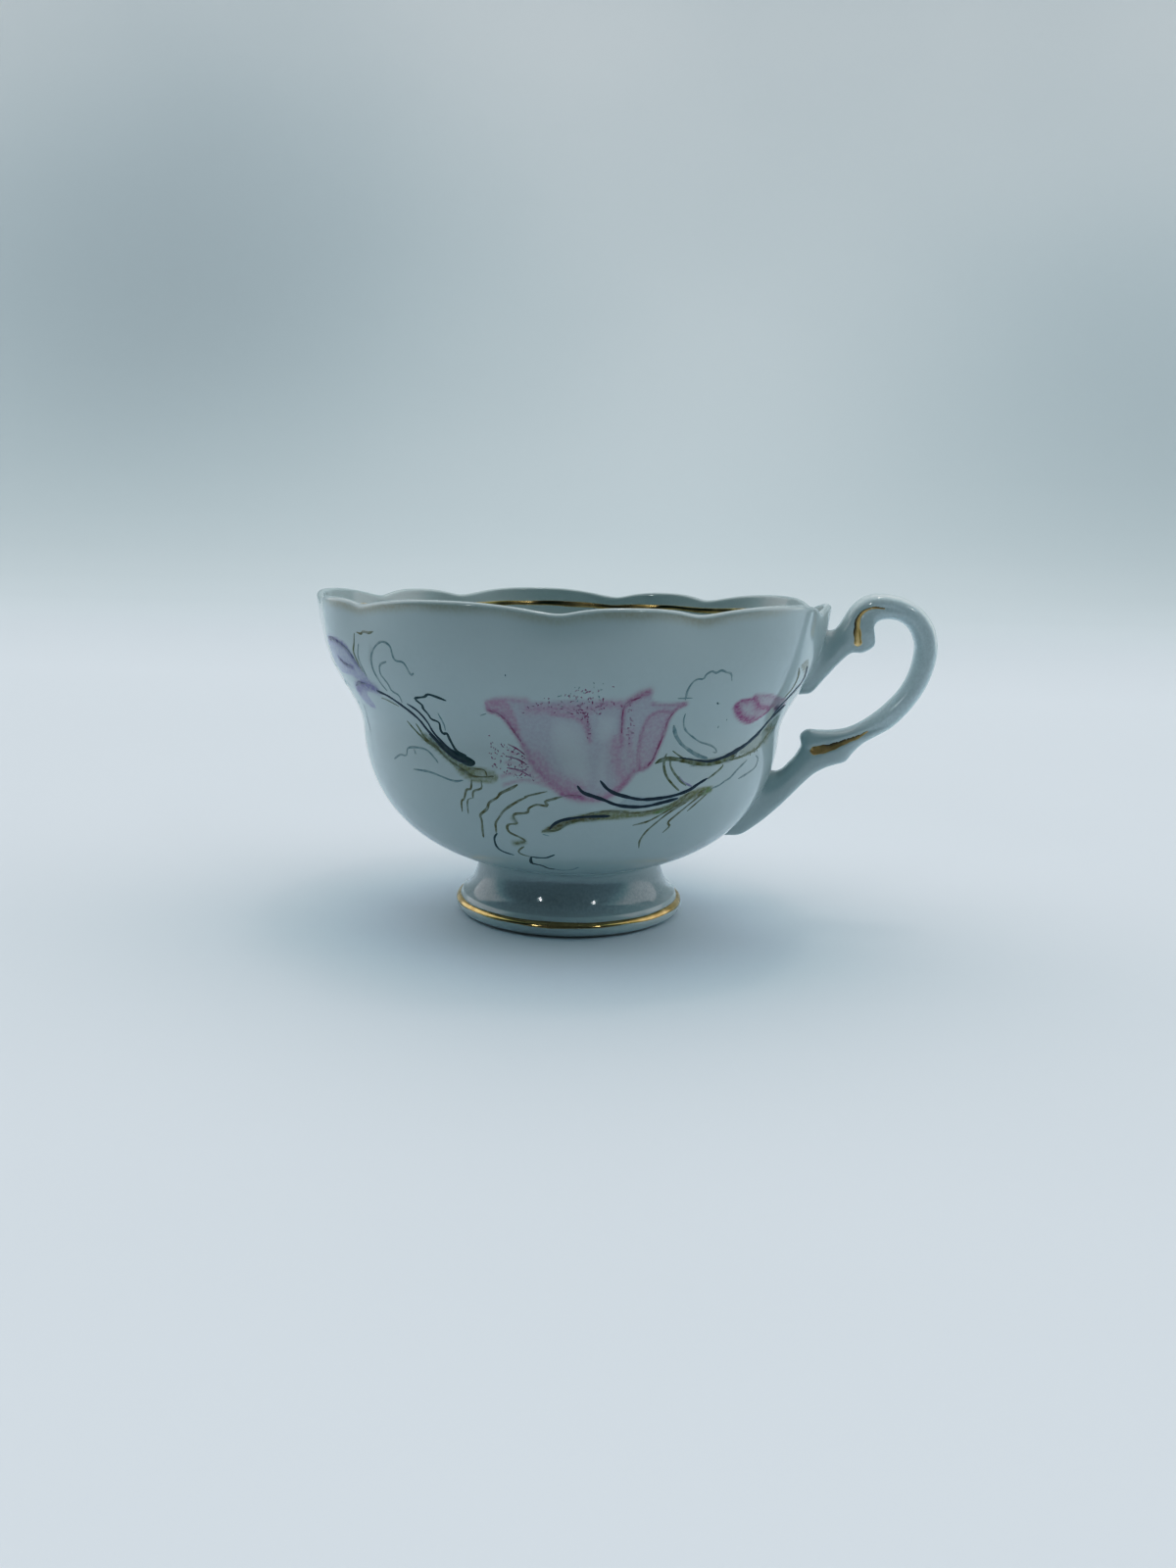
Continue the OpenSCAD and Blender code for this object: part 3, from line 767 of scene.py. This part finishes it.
# Grooves pressed into the sides, which the gilding follows: (out, up, depth, half width).
GROOVES = [
    [(52.3, 51.6, 0.3, 0.7), (51.8, 54.0, 0.45, 0.8), (51.5, 55.6, 0.45, 0.7), (51.6, 57.1, 0.45, 0.55),
     (52.4, 58.4, 0.4, 0.5), (54.3, 59.2, 0.35, 0.5), (56.6, 59.2, 0.25, 0.5), (59.2, 58.7, 0.1, 0.6)],
    [(43.6, 33.1, 0.1, 0.5), (45.8, 33.2, 0.4, 0.8), (47.9, 33.7, 0.45, 0.7), (51.3, 35.2, 0.45, 0.55),
     (54.8, 36.8, 0.35, 0.5), (57.6, 38.2, 0.2, 0.5), (60.5, 40.6, 0.05, 0.6)],
    [(46.2, 34.6, 0.05, 0.4), (48.0, 34.6, 0.12, 0.35), (50.6, 35.0, 0.12, 0.35), (53.0, 36.0, 0.04, 0.35)],
]


def groove_depth(out, up):
    """How far the handle's sides are pressed in at each point of its plane."""
    points = np.stack([out, up], -1).reshape(-1, 2)
    depth = np.zeros(len(points))
    for line in GROOVES:
        line = smooth(line, 0.5)
        gap = np.hypot(points[:, None, 0] - line[None, :, 0], points[:, None, 1] - line[None, :, 1])
        nearest = gap.argmin(1)
        share = gap.min(1) / line[nearest, 3]
        depth = np.maximum(depth, line[nearest, 2] * np.exp(-share ** 2))
    return depth.reshape(out.shape)


def make_handle():
    line = curve_through(STATIONS, 8)
    outer, inner = line[:, :2], line[:, 2:]
    middle, half = (outer + inner) / 2, (outer - inner) / 2
    along = lengths(middle)
    ends = np.minimum(along, along[-1] - along)
    angle = np.linspace(0, 2 * math.pi, SECTION_POINTS, endpoint=False)
    u = np.sign(np.cos(angle)) * np.abs(np.cos(angle)) ** (2 / SECTION_POWER)
    v = np.sign(np.sin(angle)) * np.abs(np.sin(angle)) ** (2 / SECTION_POWER)
    plane = middle[:, None] + u[None, :, None] * half[:, None]
    side = np.broadcast_to(v, plane.shape[:2]) * HANDLE_W / 2
    slip = 1 + 0.22 * np.exp(-ends / 1.0)           # the handle spreads where it is luted on
    pressed = groove_depth(plane[..., 0], plane[..., 1]) * np.abs(np.broadcast_to(v, plane.shape[:2])) ** 3
    side = side * slip[:, None] - np.sign(side) * pressed
    points = np.stack([plane[..., 0], side, plane[..., 1]], -1)
    for end in (0, -1):                             # both ends reach a little way into the wall
        z = points[end, :, 2]
        radius = wall_radius(np.zeros_like(z), z) - 0.5
        points[end, :, 0] = np.sqrt(radius ** 2 - points[end, :, 1] ** 2)
    cover = 0.15 + 0.7 * np.clip((points[..., 0] - 50) / 8, 0, 1)       # painted light, most on the outer loop and less near the bowl
    paint = np.column_stack([np.tile(HANDLE_PAINTED_LIGHT, (cover.size, 1)), cover.reshape(-1)])
    faces = tube_faces(*points.shape[:2])
    handle = mesh_object("porcelain_handle", points.reshape(-1, 3), faces, PORCELAIN, paint)
    return finish_piece(handle, "porcelain", "handle")


# ---- Gilding ----

SUNK = 0.03                     # how far a ribbon's edges lie under the glaze, in mm


def ribbon(left, right, normals, height):
    """A closed strip with a slightly crowned top between two edges, both sunk a little under the glaze."""
    shares = np.array([0.0, 0.1, 0.5, 0.9, 1.0])[:, None]
    rise = np.array([-SUNK, 0.8 * height, height, 0.8 * height, -SUNK])[:, None]
    top = left[:, None] + (right - left)[:, None] * shares + rise * normals[:, None]
    bottom = (left + right)[:, None] / 2 - 3 * SUNK * normals[:, None]
    return np.concatenate([top, bottom], 1)


def make_inner_line():
    columns = BOWL_COLUMNS
    az = np.arange(columns) * 360 / columns
    a = np.radians(az)
    waver = 0.10 * np.sin(7 * a + 1) + 0.07 * np.sin(17 * a) + 0.05 * np.sin(31 * a + 2)
    top = LINE_TOP - LINE_FOLLOW * (CROWN_H - rim_height(az))
    low = top - LINE_W + waver
    high = top + 0.6 * waver[::-1]
    edges = [polar(wall_radius(az, z) - wall_thickness(z), az, z) for z in (low, high)]
    inward = -polar(np.ones(columns), az, 0)
    section = ribbon(edges[0], edges[1], inward, 0.02)
    faces = grid_faces(columns, section.shape[1], True, True)
    return finish_piece(mesh_object("gold_inner_line", section.reshape(-1, 3), faces, GOLD), "gilding",
                        "inner_gold_line")


def make_foot_band():
    columns = FOOT_COLUMNS
    az = np.arange(columns) * 360 / columns
    a = np.radians(az)
    start = 15 + 4 * np.sin(5 * a) + 2.5 * np.sin(13 * a + 1)
    end = 70 + 4 * np.sin(4 * a + 2) + 2.5 * np.sin(11 * a)
    shares = np.linspace(0, 1, 9)
    angle = np.radians(start[:, None] + (end - start)[:, None] * shares)
    lift = np.array([-0.04, 0.035, 0.05, 0.05, 0.05, 0.05, 0.05, 0.035, -0.04])
    reach = BEAD_R + lift
    radius = BEAD_CENTRE[0] + reach * np.cos(angle) + wobble(az, 0)[:, None] * 0.5
    top = polar(radius, az[:, None], BEAD_CENTRE[1] + reach * np.sin(angle))
    middle = np.radians((start + end) / 2)
    inner = BEAD_R - 0.12
    bottom = polar(BEAD_CENTRE[0] + inner * np.cos(middle), az, BEAD_CENTRE[1] + inner * np.sin(middle))
    section = np.concatenate([top, bottom[:, None]], 1)
    faces = grid_faces(columns, section.shape[1], True, True)
    return finish_piece(mesh_object("gold_foot_band", section.reshape(-1, 3), faces, GOLD), "gilding",
                        "foot_gold_band")


GROOVE_SHADE = (0.010, 0.020, 0.035)      # painted shade and painted dark reflection along the gold's edge that turns down into the groove


def make_handle_gilding(name, node, stroke, handle):
    """One stroke on each side of the handle, laid on the porcelain's own surface."""
    mesh = handle.data
    tree = BVHTree.FromPolygons([v.co for v in mesh.vertices], [p.vertices for p in mesh.polygons])
    line = smooth(stroke, 0.2)
    reach = lengths(line)
    start = np.clip(reach / 0.8, 0, 1)
    width = line[:, 2] * np.sqrt(1 - (1 - start) ** 2 + 0.01) * (1 + 0.10 * np.sin(reach * 3.1))
    shares = np.linspace(-1, 1, 9)
    lift = 0.06 * (1 - shares ** 4) - 0.03
    points, faces, shaded = [], [], []
    for side in (-1, 1):
        rows = []
        for centre, sideways, w in zip(line[:, :2], leftwards(line), width):
            row = []
            for share, rise in zip(shares, lift):
                x, z = centre + sideways * w * share
                hit, normal, _, _ = tree.ray_cast(Vector((x, side * 20, z)) * MM, Vector((0, -side, 0)))
                if hit is None:
                    hit, normal = Vector((x, side * HANDLE_W / 2, z)) * MM, Vector((0, side, 0))
                if normal.y * side < 0:
                    normal = -normal
                row.append(np.array(hit) / MM + np.array(normal) * rise)
            row.append((row[0] + row[-1]) / 2 - np.array([0, side * 0.12, 0]))
            rows.append(row)
        block = np.array(rows)
        # painted shade along the stroke's left edge, from a little way along it
        left = np.exp(-((1 - np.append(shares, 0)) / 0.6) ** 2)         # near the stroke's left edge
        dark = left[None] * np.clip(reach / 1.6 - 1, 0, 1)[:, None]
        shaded.append(dark.reshape(-1))
        first = sum(len(b) for b in points)
        faces += [[k + first for k in face] for face in tube_faces(*block.shape[:2])]
        points.append(block.reshape(-1, 3))
    paint = np.column_stack([np.tile(GROOVE_SHADE, (sum(map(len, shaded)), 1)), np.concatenate(shaded)])
    obj = mesh_object(name, np.vstack(points), faces, STROKE_GOLD, paint)
    return finish_piece(obj, "gilding", node)


# ---- Painted lines ----

# For each enamel: name, pigment, how thin it gets, and its strokes as (usual width in mm, points). A point
# is "angle height" or "angle height width".
LINES = [
    ("navy", (0.012, 0.048, 0.078), 0.95, [
        (0.55, "75.7 32.1, 74 30.8, 72 29.95, 69 29.3, 65 28.7, 60 28.75, 56 29.05, 52 29.75, 49 30.8, "
               "46.6 31.5"),
        (0.55, "81.1 31.2, 79.7 30.1, 77 29.4, 74.5 28.8, 71.5 27.95, 68 27.5, 64 27.4, 60 27.8, 54.7 28.5"),
        (0.6, "132 44.5, 128 43.8, 124 42.2, 121 40.5, 119.3 38.8, 117 37.1, 114 35.4, 111 34.4, 108 34.1"),
        (0.45, "122.5 43, 120 41.9, 118.4 40.2, 117.3 38.3, 114 36.2, 110 34.7"),
        (0.5, "88 23.3, 87 24.2, 85 25, 82 25.5, 78.5 25.8, 72.5 25.9"),
        (0.5, "56 35.5 0.25, 50 34.7 0.35, 46.2 34.4 0.45, 41.2 34.9 0.7, 36.9 35.7 0.7, 32.8 36.6 0.75, "
              "28.3 38.1 0.8, 25.4 39.9 0.9, 22.2 41.4 1.1, 19 42.4 1.2"),
        (0.6, "25 40.6 0.5, 23.4 42.3 0.9, 21.4 43.8 1.1, 18.8 45.2 1.2, 17 46.4 1.2, 17.4 47.8 1.1, "
              "19.6 49.4 0.8"),
    ]),
    ("teal", (0.008, 0.062, 0.074), 0.9, [
        (0.5, "119 38 0.3, 116 36.7 0.55, 113 35.4 1.1, 110 34.6 1.45, 107.5 34.1 1.6, 106.2 34.1 1.0"),
        (0.45, "110.3 44.3, 112.5 44.8, 114.6 45.1, 116 44.6, 119 44.1, 117.7 43.1, 117.9 42.5, 117.1 41.6, "
               "116.7 40.8, 114.8 40.3, 115 39, 114.4 38.4, 113.4 38.5, 112.8 37.4, 111.3 35.8, 108.5 35.1"),
        (0.4, "103 21.8, 104.4 20.8, 105 19.3, 104.6 18.3, 103 17.7, 100.5 17.3"),
        (0.4, "95 17.2, 92.5 17.1, 90 17.2, 88.5 17.6, 87.2 18"),
        (0.5, "94.8 17.2, 95.6 16.2, 95.6 15.5, 93.5 15.2, 92 14.9, 90.6 14.3, 88 14.05"),
    ]),
    ("olive", (0.105, 0.125, 0.045), 0.55, [
        (0.35, "131.5 43.3, 130 43.2, 126 42.3"),
        (0.4, "125.5 39.8, 123.5 38.3, 121 37, 117 35.7, 113 33.8, 107 31.8"),
        (0.35, "122.5 39.6, 120.5 37.2, 116.5 35.9"),
        (0.35, "133.5 54, 134.2 52.4, 135.3 50.8, 134.8 49, 134.2 47.5"),
        (0.35, "46.5 31.4, 44.5 32.1, 42.2 33.1, 41.8 33.6"),
        (0.4, "90 22.9, 86.5 23.1, 84.5 23.8, 82.5 24.7, 80 25.2"),
        (0.4, "59.5 36.3, 60 35.2, 59.9 33.9, 58.9 32.4, 57 31, 54.8 29.8"),
        (0.4, "58.4 35.5, 58.2 34.2, 56.9 32.9, 55 31.6, 53 30.6"),
        (0.8, "62.4 34.7 0.3, 60.9 35.2 0.6, 58.4 35.4, 53.9 34.9, 49.4 34.2, 46.2 34, 42 34.3 0.7, "
              "38 34.9 0.5"),
        (0.4, "39.6 34.2, 36.5 34.3, 32.3 34.7, 27.4 35.3, 23.6 36.6, 20.5 38, 22.1 39.4"),
        (0.6, "25.6 49.5, 23.2 47.8, 22.6 45.8, 24.2 44.2"),
        (0.3, "58 36.7, 56 35.8, 55 35.5"),
    ]),
    ("brown", (0.145, 0.145, 0.065), 0.5, [
        (0.4, "126.3 54.6, 128 54.3, 130 54.4, 131 54, 132.6 54.2"),
        (0.35, "107.5 31.2, 108 29.6, 109.3 29.3, 110.4 27.7, 111.4 27.1, 112 25.2"),
        (0.25, "108 28, 109.5 27.4, 110.2 25"),
        (0.35, "104.9 31.2, 105 29.9, 107.3 29.2, 107.8 27.9"),
        (0.3, "112 33.4, 108.5 32, 105 31.8, 101.5 32.1"),
        (0.3, "108 33, 104 33, 103.2 32"),
        (0.45, "95.5 31, 97.2 30.3, 100 29.3, 101 28.5, 103.3 27.5, 104.3 26.3, 106.6 25, 106.6 24, "
               "107.2 22.4, 108 20.6"),
        (0.4, "93 29.1, 96 28, 99.4 26.4, 101.2 25, 102.6 23.8, 103 22.6, 103.3 21.8"),
        (0.42, "84.7 29.3, 87 28.8, 88.8 28.3, 88.3 27.6, 91 27.7, 93 27, 93.6 26.2, 96.8 25.8, 97.3 25, "
               "96.6 24.1, 98.8 23.8, 99.6 23.2, 99.2 22.2, 96.6 21.4, 95.3 20.8, 96.2 20.3, 98.4 19.9"),
        (0.4, "96 19.5, 97.6 18.8, 98.4 18.1, 97.4 17.6, 95 17.2"),
        (0.3, "94 29, 91.5 29.5, 88.3 30.1"),
        (0.35, "79 26.1, 76 26.6, 72 26.8, 66 26.3, 60 26.7, 56 27.3, 51.5 29.3"),
        (0.35, "66 24, 62 24.6, 58.5 25.8, 53 27.7, 49 28.9, 46 29.6"),
        (0.35, "61.6 19.2, 62.4 20.8, 61.7 22.4, 60 23.8, 56.3 26, 51 27.9"),
        (0.35, "56.2 22.1, 54.8 23.3, 55.7 24.1, 54.2 25.2, 51 27, 46.5 29.2"),
        (0.3, "50.7 25.9, 49 26.9, 45 29.1"),
        (0.4, "24.5 36.3, 22 37.3, 19 38"),
        (0.35, "24 38.6, 21 38.3, 18 38.4"),
    ]),
    ("grey", (0.19, 0.275, 0.295), 0.5, [
        (0.35, "132.5 52.3, 133.9 50, 133.3 46.8"),
        (0.4, "116.5 48.5, 117.5 48.2, 118.5 50, 121 50.4, 121.6 52.6, 124.5 53, 128.2 51, 129.4 48.5, "
              "128.8 46.3, 127.5 44.8"),
        (0.35, "123.8 49.9, 126.3 49.2, 127.2 47.6, 126 46.2, 125.8 45, 124 44.3, 124 43.1"),
        (0.35, "134 32.5, 131 33.5, 128.3 33.7, 127 35.1, 121 35.3, 118 34, 117 33.3"),
        (0.3, "125 35, 124.5 34.2"),
        (0.35, "126 31.5, 120 31.5, 113 30.6, 110 30.9"),
        (0.3, "114 42, 113.5 40, 113.6 39"),
        (0.3, "103 42.2, 101.5 42.6"),
        (0.35, "58.6 45.4, 58.7 47, 58.1 48.2, 57 48.8, 55.7 48.8, 55.3 49.5, 54.1 50, 53.1 49.7, "
               "51.9 50.1, 50.6 49.8, 49.3 49.5, 48.5 48.3"),
        (0.3, "60.5 45.7, 57 45.7"),
        (0.6, "59.3 41.1, 58 39.4, 55.9 37.8, 53.3 36.6, 50.2 35.5, 47.4 35"),
        (0.3, "57.4 43.1, 57.1 41.8, 55.8 40.2, 53.2 38.9, 50.5 37.9, 47.7 37.3, 45.4 36.6, 44.6 35.8, "
              "45.9 35.9"),
        (0.35, "34.4 30.5, 30.5 31.1, 26.8 31.9, 25.9 33.3, 27.5 34"),
        (0.35, "44.4 29.6, 42.1 29.9, 39.8 30.6, 38.1 31, 35.7 32.2, 31.9 33.6"),
        (0.25, "147.6 44.2, 151 44.9, 154 43.6"),
        (0.25, "145.4 41.1, 147 39.6, 148.9 37.5, 148 35.9"),
        (0.25, "151.6 47.2, 156 47.5, 160 48.4"),
        (0.35, "88 14.05, 85 13.8, 82 14, 80.5 14.4, 79.2 14.9"),
        (0.3, "90 22.3, 88.3 22"),
    ]),
    ("lilac", (0.22, 0.20, 0.34), 0.4, [
        (0.35, "55.5 32.3, 54 31.3, 51 30.3"),
    ]),
    ("violet", (0.065, 0.065, 0.175), 0.55, [
        (0.6, "149 52.4 0.6, 144.2 52.4 0.8, 140.8 51.9 0.7, 138.1 51 0.55, 136.4 49.8 0.45, "
              "135.2 48.3 0.3"),
        (0.5, "144.5 49.2 0.5, 141.8 48.4 0.6, 138.2 48 0.25"),
        (0.4, "142 44.6 0.4, 138.6 45.4 0.6, 135.4 45.4 0.35"),
    ]),
    ("plum", (0.29, 0.085, 0.18), 0.4, [
        (0.3, "100.6 43.1, 99.3 42.8, 97.9 42.2, 95.7 39.7, 94.4 38.2"),
        (0.25, "97.6 37.6, 95.4 36.9, 93.6 36"),
        (0.25, "98 35.6, 95.4 35.2, 93 34.4"),
        (0.25, "98 33.7, 95 33.4, 92 32.4"),
        (0.3, "84 29.4, 82 29.5, 80 29.4"),
        (0.25, "60.2 43.6, 61.1 42, 61.2 39.5, 62.6 36, 64.2 34.4"),
        (0.25, "71.4 40, 71.9 43.8, 71 45.2, 68.8 46"),
    ]),
]

# Small marks: enamel's name, size in mm, and places as "angle height".
DOTS = [
    ("olive", 0.42, "40 34.7, 38 34.6, 37 34.4, 34.4 34.5, 32 34.9, 30.7 34.5, 28.6 34.8, 27.3 34.9, "
                    "26.5 35.4, 25 36"),
    ("grey", 0.35, "49.6 44.5, 44.7 41.5, 46.4 40.3, 150 41, 149.2 38.4, 148.4 36.2"),
    ("navy", 0.26, "95.8 49.1, 50 44.6"),
]

BRUSH_FULLNESS = 1.15           # how much the strokes swell over their usual widths
# Stippled touches: enamel's name, size in mm, how many, how far they stray in mm, and the line they follow.
STIPPLES = [
    ("plum", 0.28, 32, 0.7, "93 44.2, 90.5 44.9, 87.4 45.0, 84.4 44.7, 81.3 44.3"),
    ("plum", 0.30, 42, 0.9, "84 45.6, 81.4 45.8, 79 45.7, 76.9 45.5, 74.5 45.2"),
    ("plum", 0.30, 28, 0.6, "82.5 44.2, 81 43.6, 79.4 43.4, 78.2 43.8, 76.8 44.3"),
    ("grey", 0.26, 14, 1.0, "86 46.2, 81.4 46.9, 78.8 47.2, 75 46.9"),
    ("plum", 0.28, 15, 0.3, "80 43, 79.2 42, 79 41, 78.8 39.8"),
    ("plum", 0.30, 25, 0.45, "70.9 44.6, 70.2 43, 69.8 41.4, 69.4 39.4, 69.3 37.8"),
    ("plum", 0.28, 20, 0.5, "101.9 38.6, 100.8 36.8, 101.8 35, 100.4 33.4"),
    ("plum", 0.30, 18, 0.25, "99.6 37.6, 97 36.7, 94.6 35.8, 92.6 34.6"),
    ("plum", 0.30, 18, 0.25, "100.2 36.2, 97.6 35.4, 95 34.6, 92.4 33.4"),
    ("plum", 0.30, 18, 0.25, "99.8 34.6, 97.2 34, 94.6 33.2, 91.6 32.4"),
    ("plum", 0.28, 12, 0.25, "99.4 33.2, 97 32.8, 94.4 32.2"),
    ("olive", 0.30, 26, 0.28, "41 34.9, 38 34.7, 34.4 34.6, 30.7 34.7, 27.6 35.4, 25 36.4"),
]

LINE_GAP = 0.35                 # mm between points along a painted line
LINE_RISE = 0.03                # height of the enamel over the glaze


def paint_stroke(usual, marks, turn):
    """One painted line as a thin closed strip that swells and tapers."""
    full = [(a, z, w[0] if w else usual) for a, z, *w in marks]
    line = smooth(flat(full), LINE_GAP)
    length = lengths(line)
    end = np.minimum(length, length[-1] - length)
    taper = 0.35 + 0.65 * np.sqrt(np.clip(end / 1.2, 0, 1))
    phase = rng.uniform(0, 6, 2)
    swell = 1 + 0.14 * np.sin(length * 0.9 + phase[0]) + 0.08 * np.sin(length * 2.7 + phase[1])
    half = BRUSH_FULLNESS * line[:, 2] * taper * swell / 2
    across = leftwards(line) * half[:, None]
    az, z = np.degrees(line[:, 0] / FLAT_R) + turn, line[:, 1]
    centre, normal = wall_frame(az, z)
    # a mm across in the flat layout is a mm on the wall, so the strip keeps its width all over the bowl
    radius = np.hypot(centre[:, 0], centre[:, 1])[:, None]
    upright = np.hypot(normal[:, 0], normal[:, 1])[:, None]
    shares = np.array([-1, -0.8, 0, 0.8, 1])
    rise = LINE_RISE * np.array([-1, 0.8, 1, 0.8, -1])
    beside = az[:, None] + np.degrees(across[:, :1] * shares / radius)
    above = z[:, None] + across[:, 1:] * shares * upright
    wall, out = (part.reshape(len(az), -1, 3) for part in wall_frame(beside.ravel(), above.ravel()))
    top = wall + rise[:, None] * out
    return np.concatenate([top, (centre - 3 * LINE_RISE * normal)[:, None]], 1)


def dot(place, size, turn):
    """A touch of the brush's tip: a short, fat stroke at a random slant."""
    slant = rng.uniform(0, math.pi)
    reach = size * rng.uniform(0.35, 0.7)
    step = np.array([math.degrees(math.cos(slant) / FLAT_R), math.sin(slant)]) * reach
    a, z = place
    return paint_stroke(size, [(a - step[0], z - step[1]), (a, z), (a + step[0], z + step[1])], turn)


def stipple(line, size, count, stray, turn):
    """Touches scattered along a painted line."""
    line = smooth(flat(points_in(line)), 0.2)
    spots = line[rng.integers(0, len(line), count), :2] + rng.normal(0, stray, (count, 2)) * (0.6, 1.0)
    return [dot((math.degrees(x / FLAT_R), z), size * rng.uniform(0.7, 1.25), turn) for x, z in spots]


def make_lines():
    for name, pigment, thin, strokes in LINES:
        material = enamel("enamel_" + name, pigment, thin)
        points, faces, first = [], [], 0
        parts = []
        for turn in TURNS:
            parts += [paint_stroke(width, points_in(marks), turn) for width, marks in strokes]
            for kind, size, places in DOTS:
                if kind == name:
                    parts += [dot(place, size, turn) for place in points_in(places)]
            for kind, size, count, stray, line in STIPPLES:
                if kind == name:
                    parts += stipple(line, size, count, stray, turn)
        for part in parts:
            faces += [[k + first for k in face] for face in tube_faces(*part.shape[:2])]
            points.append(part.reshape(-1, 3))
            first += len(points[-1])
        finish_piece(mesh_object("painted_lines_" + name, np.vstack(points), faces, material), "porcelain")


# ---- Studio ----

def make_floor():
    """Table top that curves up into a wall well behind the cup."""
    back, height, bend = 1900.0, 1900.0, 900.0
    turn = np.linspace(0, math.pi / 2, 13)[1:-1]
    profile = [(-700, 0), (-300, 0), (0, 0), (300, 0), (600, 0), (back - bend, 0)]
    profile += [(back - bend + bend * math.sin(t), bend - bend * math.cos(t)) for t in turn]
    profile += [(back, bend), (back, height)]
    across = np.linspace(-2200, 2200, 9)
    points = np.array([[(x, y, z) for y, z in profile] for x in across])
    faces = grid_faces(len(across), len(profile), False)
    floor = mesh_object("studio_floor", points.reshape(-1, 3), faces, floor_paint())


def area_light(name, place, target, size, power):
    data = bpy.data.lights.new(name, "AREA")
    data.shape = "RECTANGLE"
    data.size, data.size_y = size[0] * MM, size[1] * MM
    data.energy = power
    light = bpy.data.objects.new(name, data)
    light.location = Vector(place) * MM
    light.rotation_euler = (Vector(target) - Vector(place)).to_track_quat("-Z", "Y").to_euler()
    bpy.context.scene.collection.objects.link(light)


CUP_MIDDLE = (20, 0, 30)
# Small lamps high over the table, seen only as glints in the glaze: name, place, size in mm, power in W.
GLINTS = [("lamp_left", (-240, -450, 300), (26, 80), 0.12), ("lamp_middle", (60, 60, 640), (26, 80), 0.12),
          ("lamp_right", (310, -370, 345), (26, 80), 0.10)]


# The sky: where it is brightest, how far along that axis it is dark and from where bright, and its colours.
SKY_AXIS, SKY_STRENGTH = (0.05, 0.949, 0.31), 1.29
DARK_UNTIL, BRIGHT_FROM = -0.38, 0.2
ROOM, BETWEEN, WINDOWS = (0.006, 0.020, 0.026, 1), (0.365, 0.51, 0.535, 1), (0.99, 0.965, 0.985, 1)


def make_light():
    """Soft light from above and behind, cooler all round, with a dark room on the camera's side."""
    world = bpy.data.worlds.new("studio_air")
    world.use_nodes = True
    bpy.context.scene.world = world
    nodes, links = world.node_tree.nodes, world.node_tree.links
    direction = nodes.new("ShaderNodeTexCoord").outputs["Generated"]
    facing = nodes.new("ShaderNodeVectorMath")
    facing.operation = "DOT_PRODUCT"
    facing.inputs[1].default_value = SKY_AXIS
    links.new(direction, facing.inputs[0])
    turn = nodes.new("ShaderNodeMapRange")
    turn.interpolation_type = "SMOOTHSTEP"
    turn.inputs["From Min"].default_value, turn.inputs["From Max"].default_value = DARK_UNTIL, BRIGHT_FROM
    links.new(facing.outputs["Value"], turn.inputs["Value"])
    ramp = nodes.new("ShaderNodeValToRGB")
    ramp.color_ramp.elements[0].color = ROOM
    ramp.color_ramp.elements[1].color = WINDOWS
    ramp.color_ramp.elements.new(0.55).color = BETWEEN
    links.new(turn.outputs["Result"], ramp.inputs["Fac"])
    air = nodes["Background"]
    links.new(ramp.outputs["Color"], air.inputs["Color"])
    air.inputs["Strength"].default_value = SKY_STRENGTH
    for name, place, size, power in GLINTS:
        area_light(name, place, CUP_MIDDLE, size, power)


CAMERA_PLACE = (28.6, -220.4, 66.9)
CAMERA_TURNS = (-6.55, 10.88, 1.3)          # to the right, down and anticlockwise, in degrees
CAMERA_LENS = 27.045


def make_camera():
    """A phone's main camera held a hand's breadth over the table, a little tilted."""
    place = Vector(CAMERA_PLACE) * MM
    turn, down, roll = map(math.radians, CAMERA_TURNS)
    ahead = Vector((math.sin(turn) * math.cos(down), math.cos(turn) * math.cos(down), -math.sin(down)))
    right = Vector((math.cos(turn), -math.sin(turn), 0))
    up = right.cross(ahead)
    right, up = right * math.cos(roll) + up * math.sin(roll), up * math.cos(roll) - right * math.sin(roll)
    data = bpy.data.cameras.new("camera")
    data.lens, data.sensor_width = CAMERA_LENS, 36
    data.clip_start = 0.01
    camera = bpy.data.objects.new("camera", data)
    camera.matrix_world = Matrix.Translation(place) @ Matrix((right, up, -ahead)).transposed().to_4x4()
    bpy.context.scene.collection.objects.link(camera)
    bpy.context.scene.camera = camera


# A phone's contrast: the tone that each tone comes out as.
TONE_CURVE = ((0.08, 0.045), (0.15, 0.118), (0.30, 0.29), (0.50, 0.56), (0.72, 0.77))


def set_tone():
    view = bpy.context.scene.view_settings
    view.view_transform = "Standard"
    view.use_curve_mapping = True
    for point in TONE_CURVE:
        view.curve_mapping.curves[3].points.new(*point)
    view.curve_mapping.update()


make_camera()
make_floor()
make_light()
make_bowl()
make_foot()
cup_handle = make_handle()
make_inner_line()
make_foot_band()
make_handle_gilding("gold_handle_upper", "handle_upper_gilding", UPPER_STROKE, cup_handle)
make_handle_gilding("gold_handle_lower", "handle_lower_gilding", LOWER_STROKE, cup_handle)
make_lines()
set_tone()
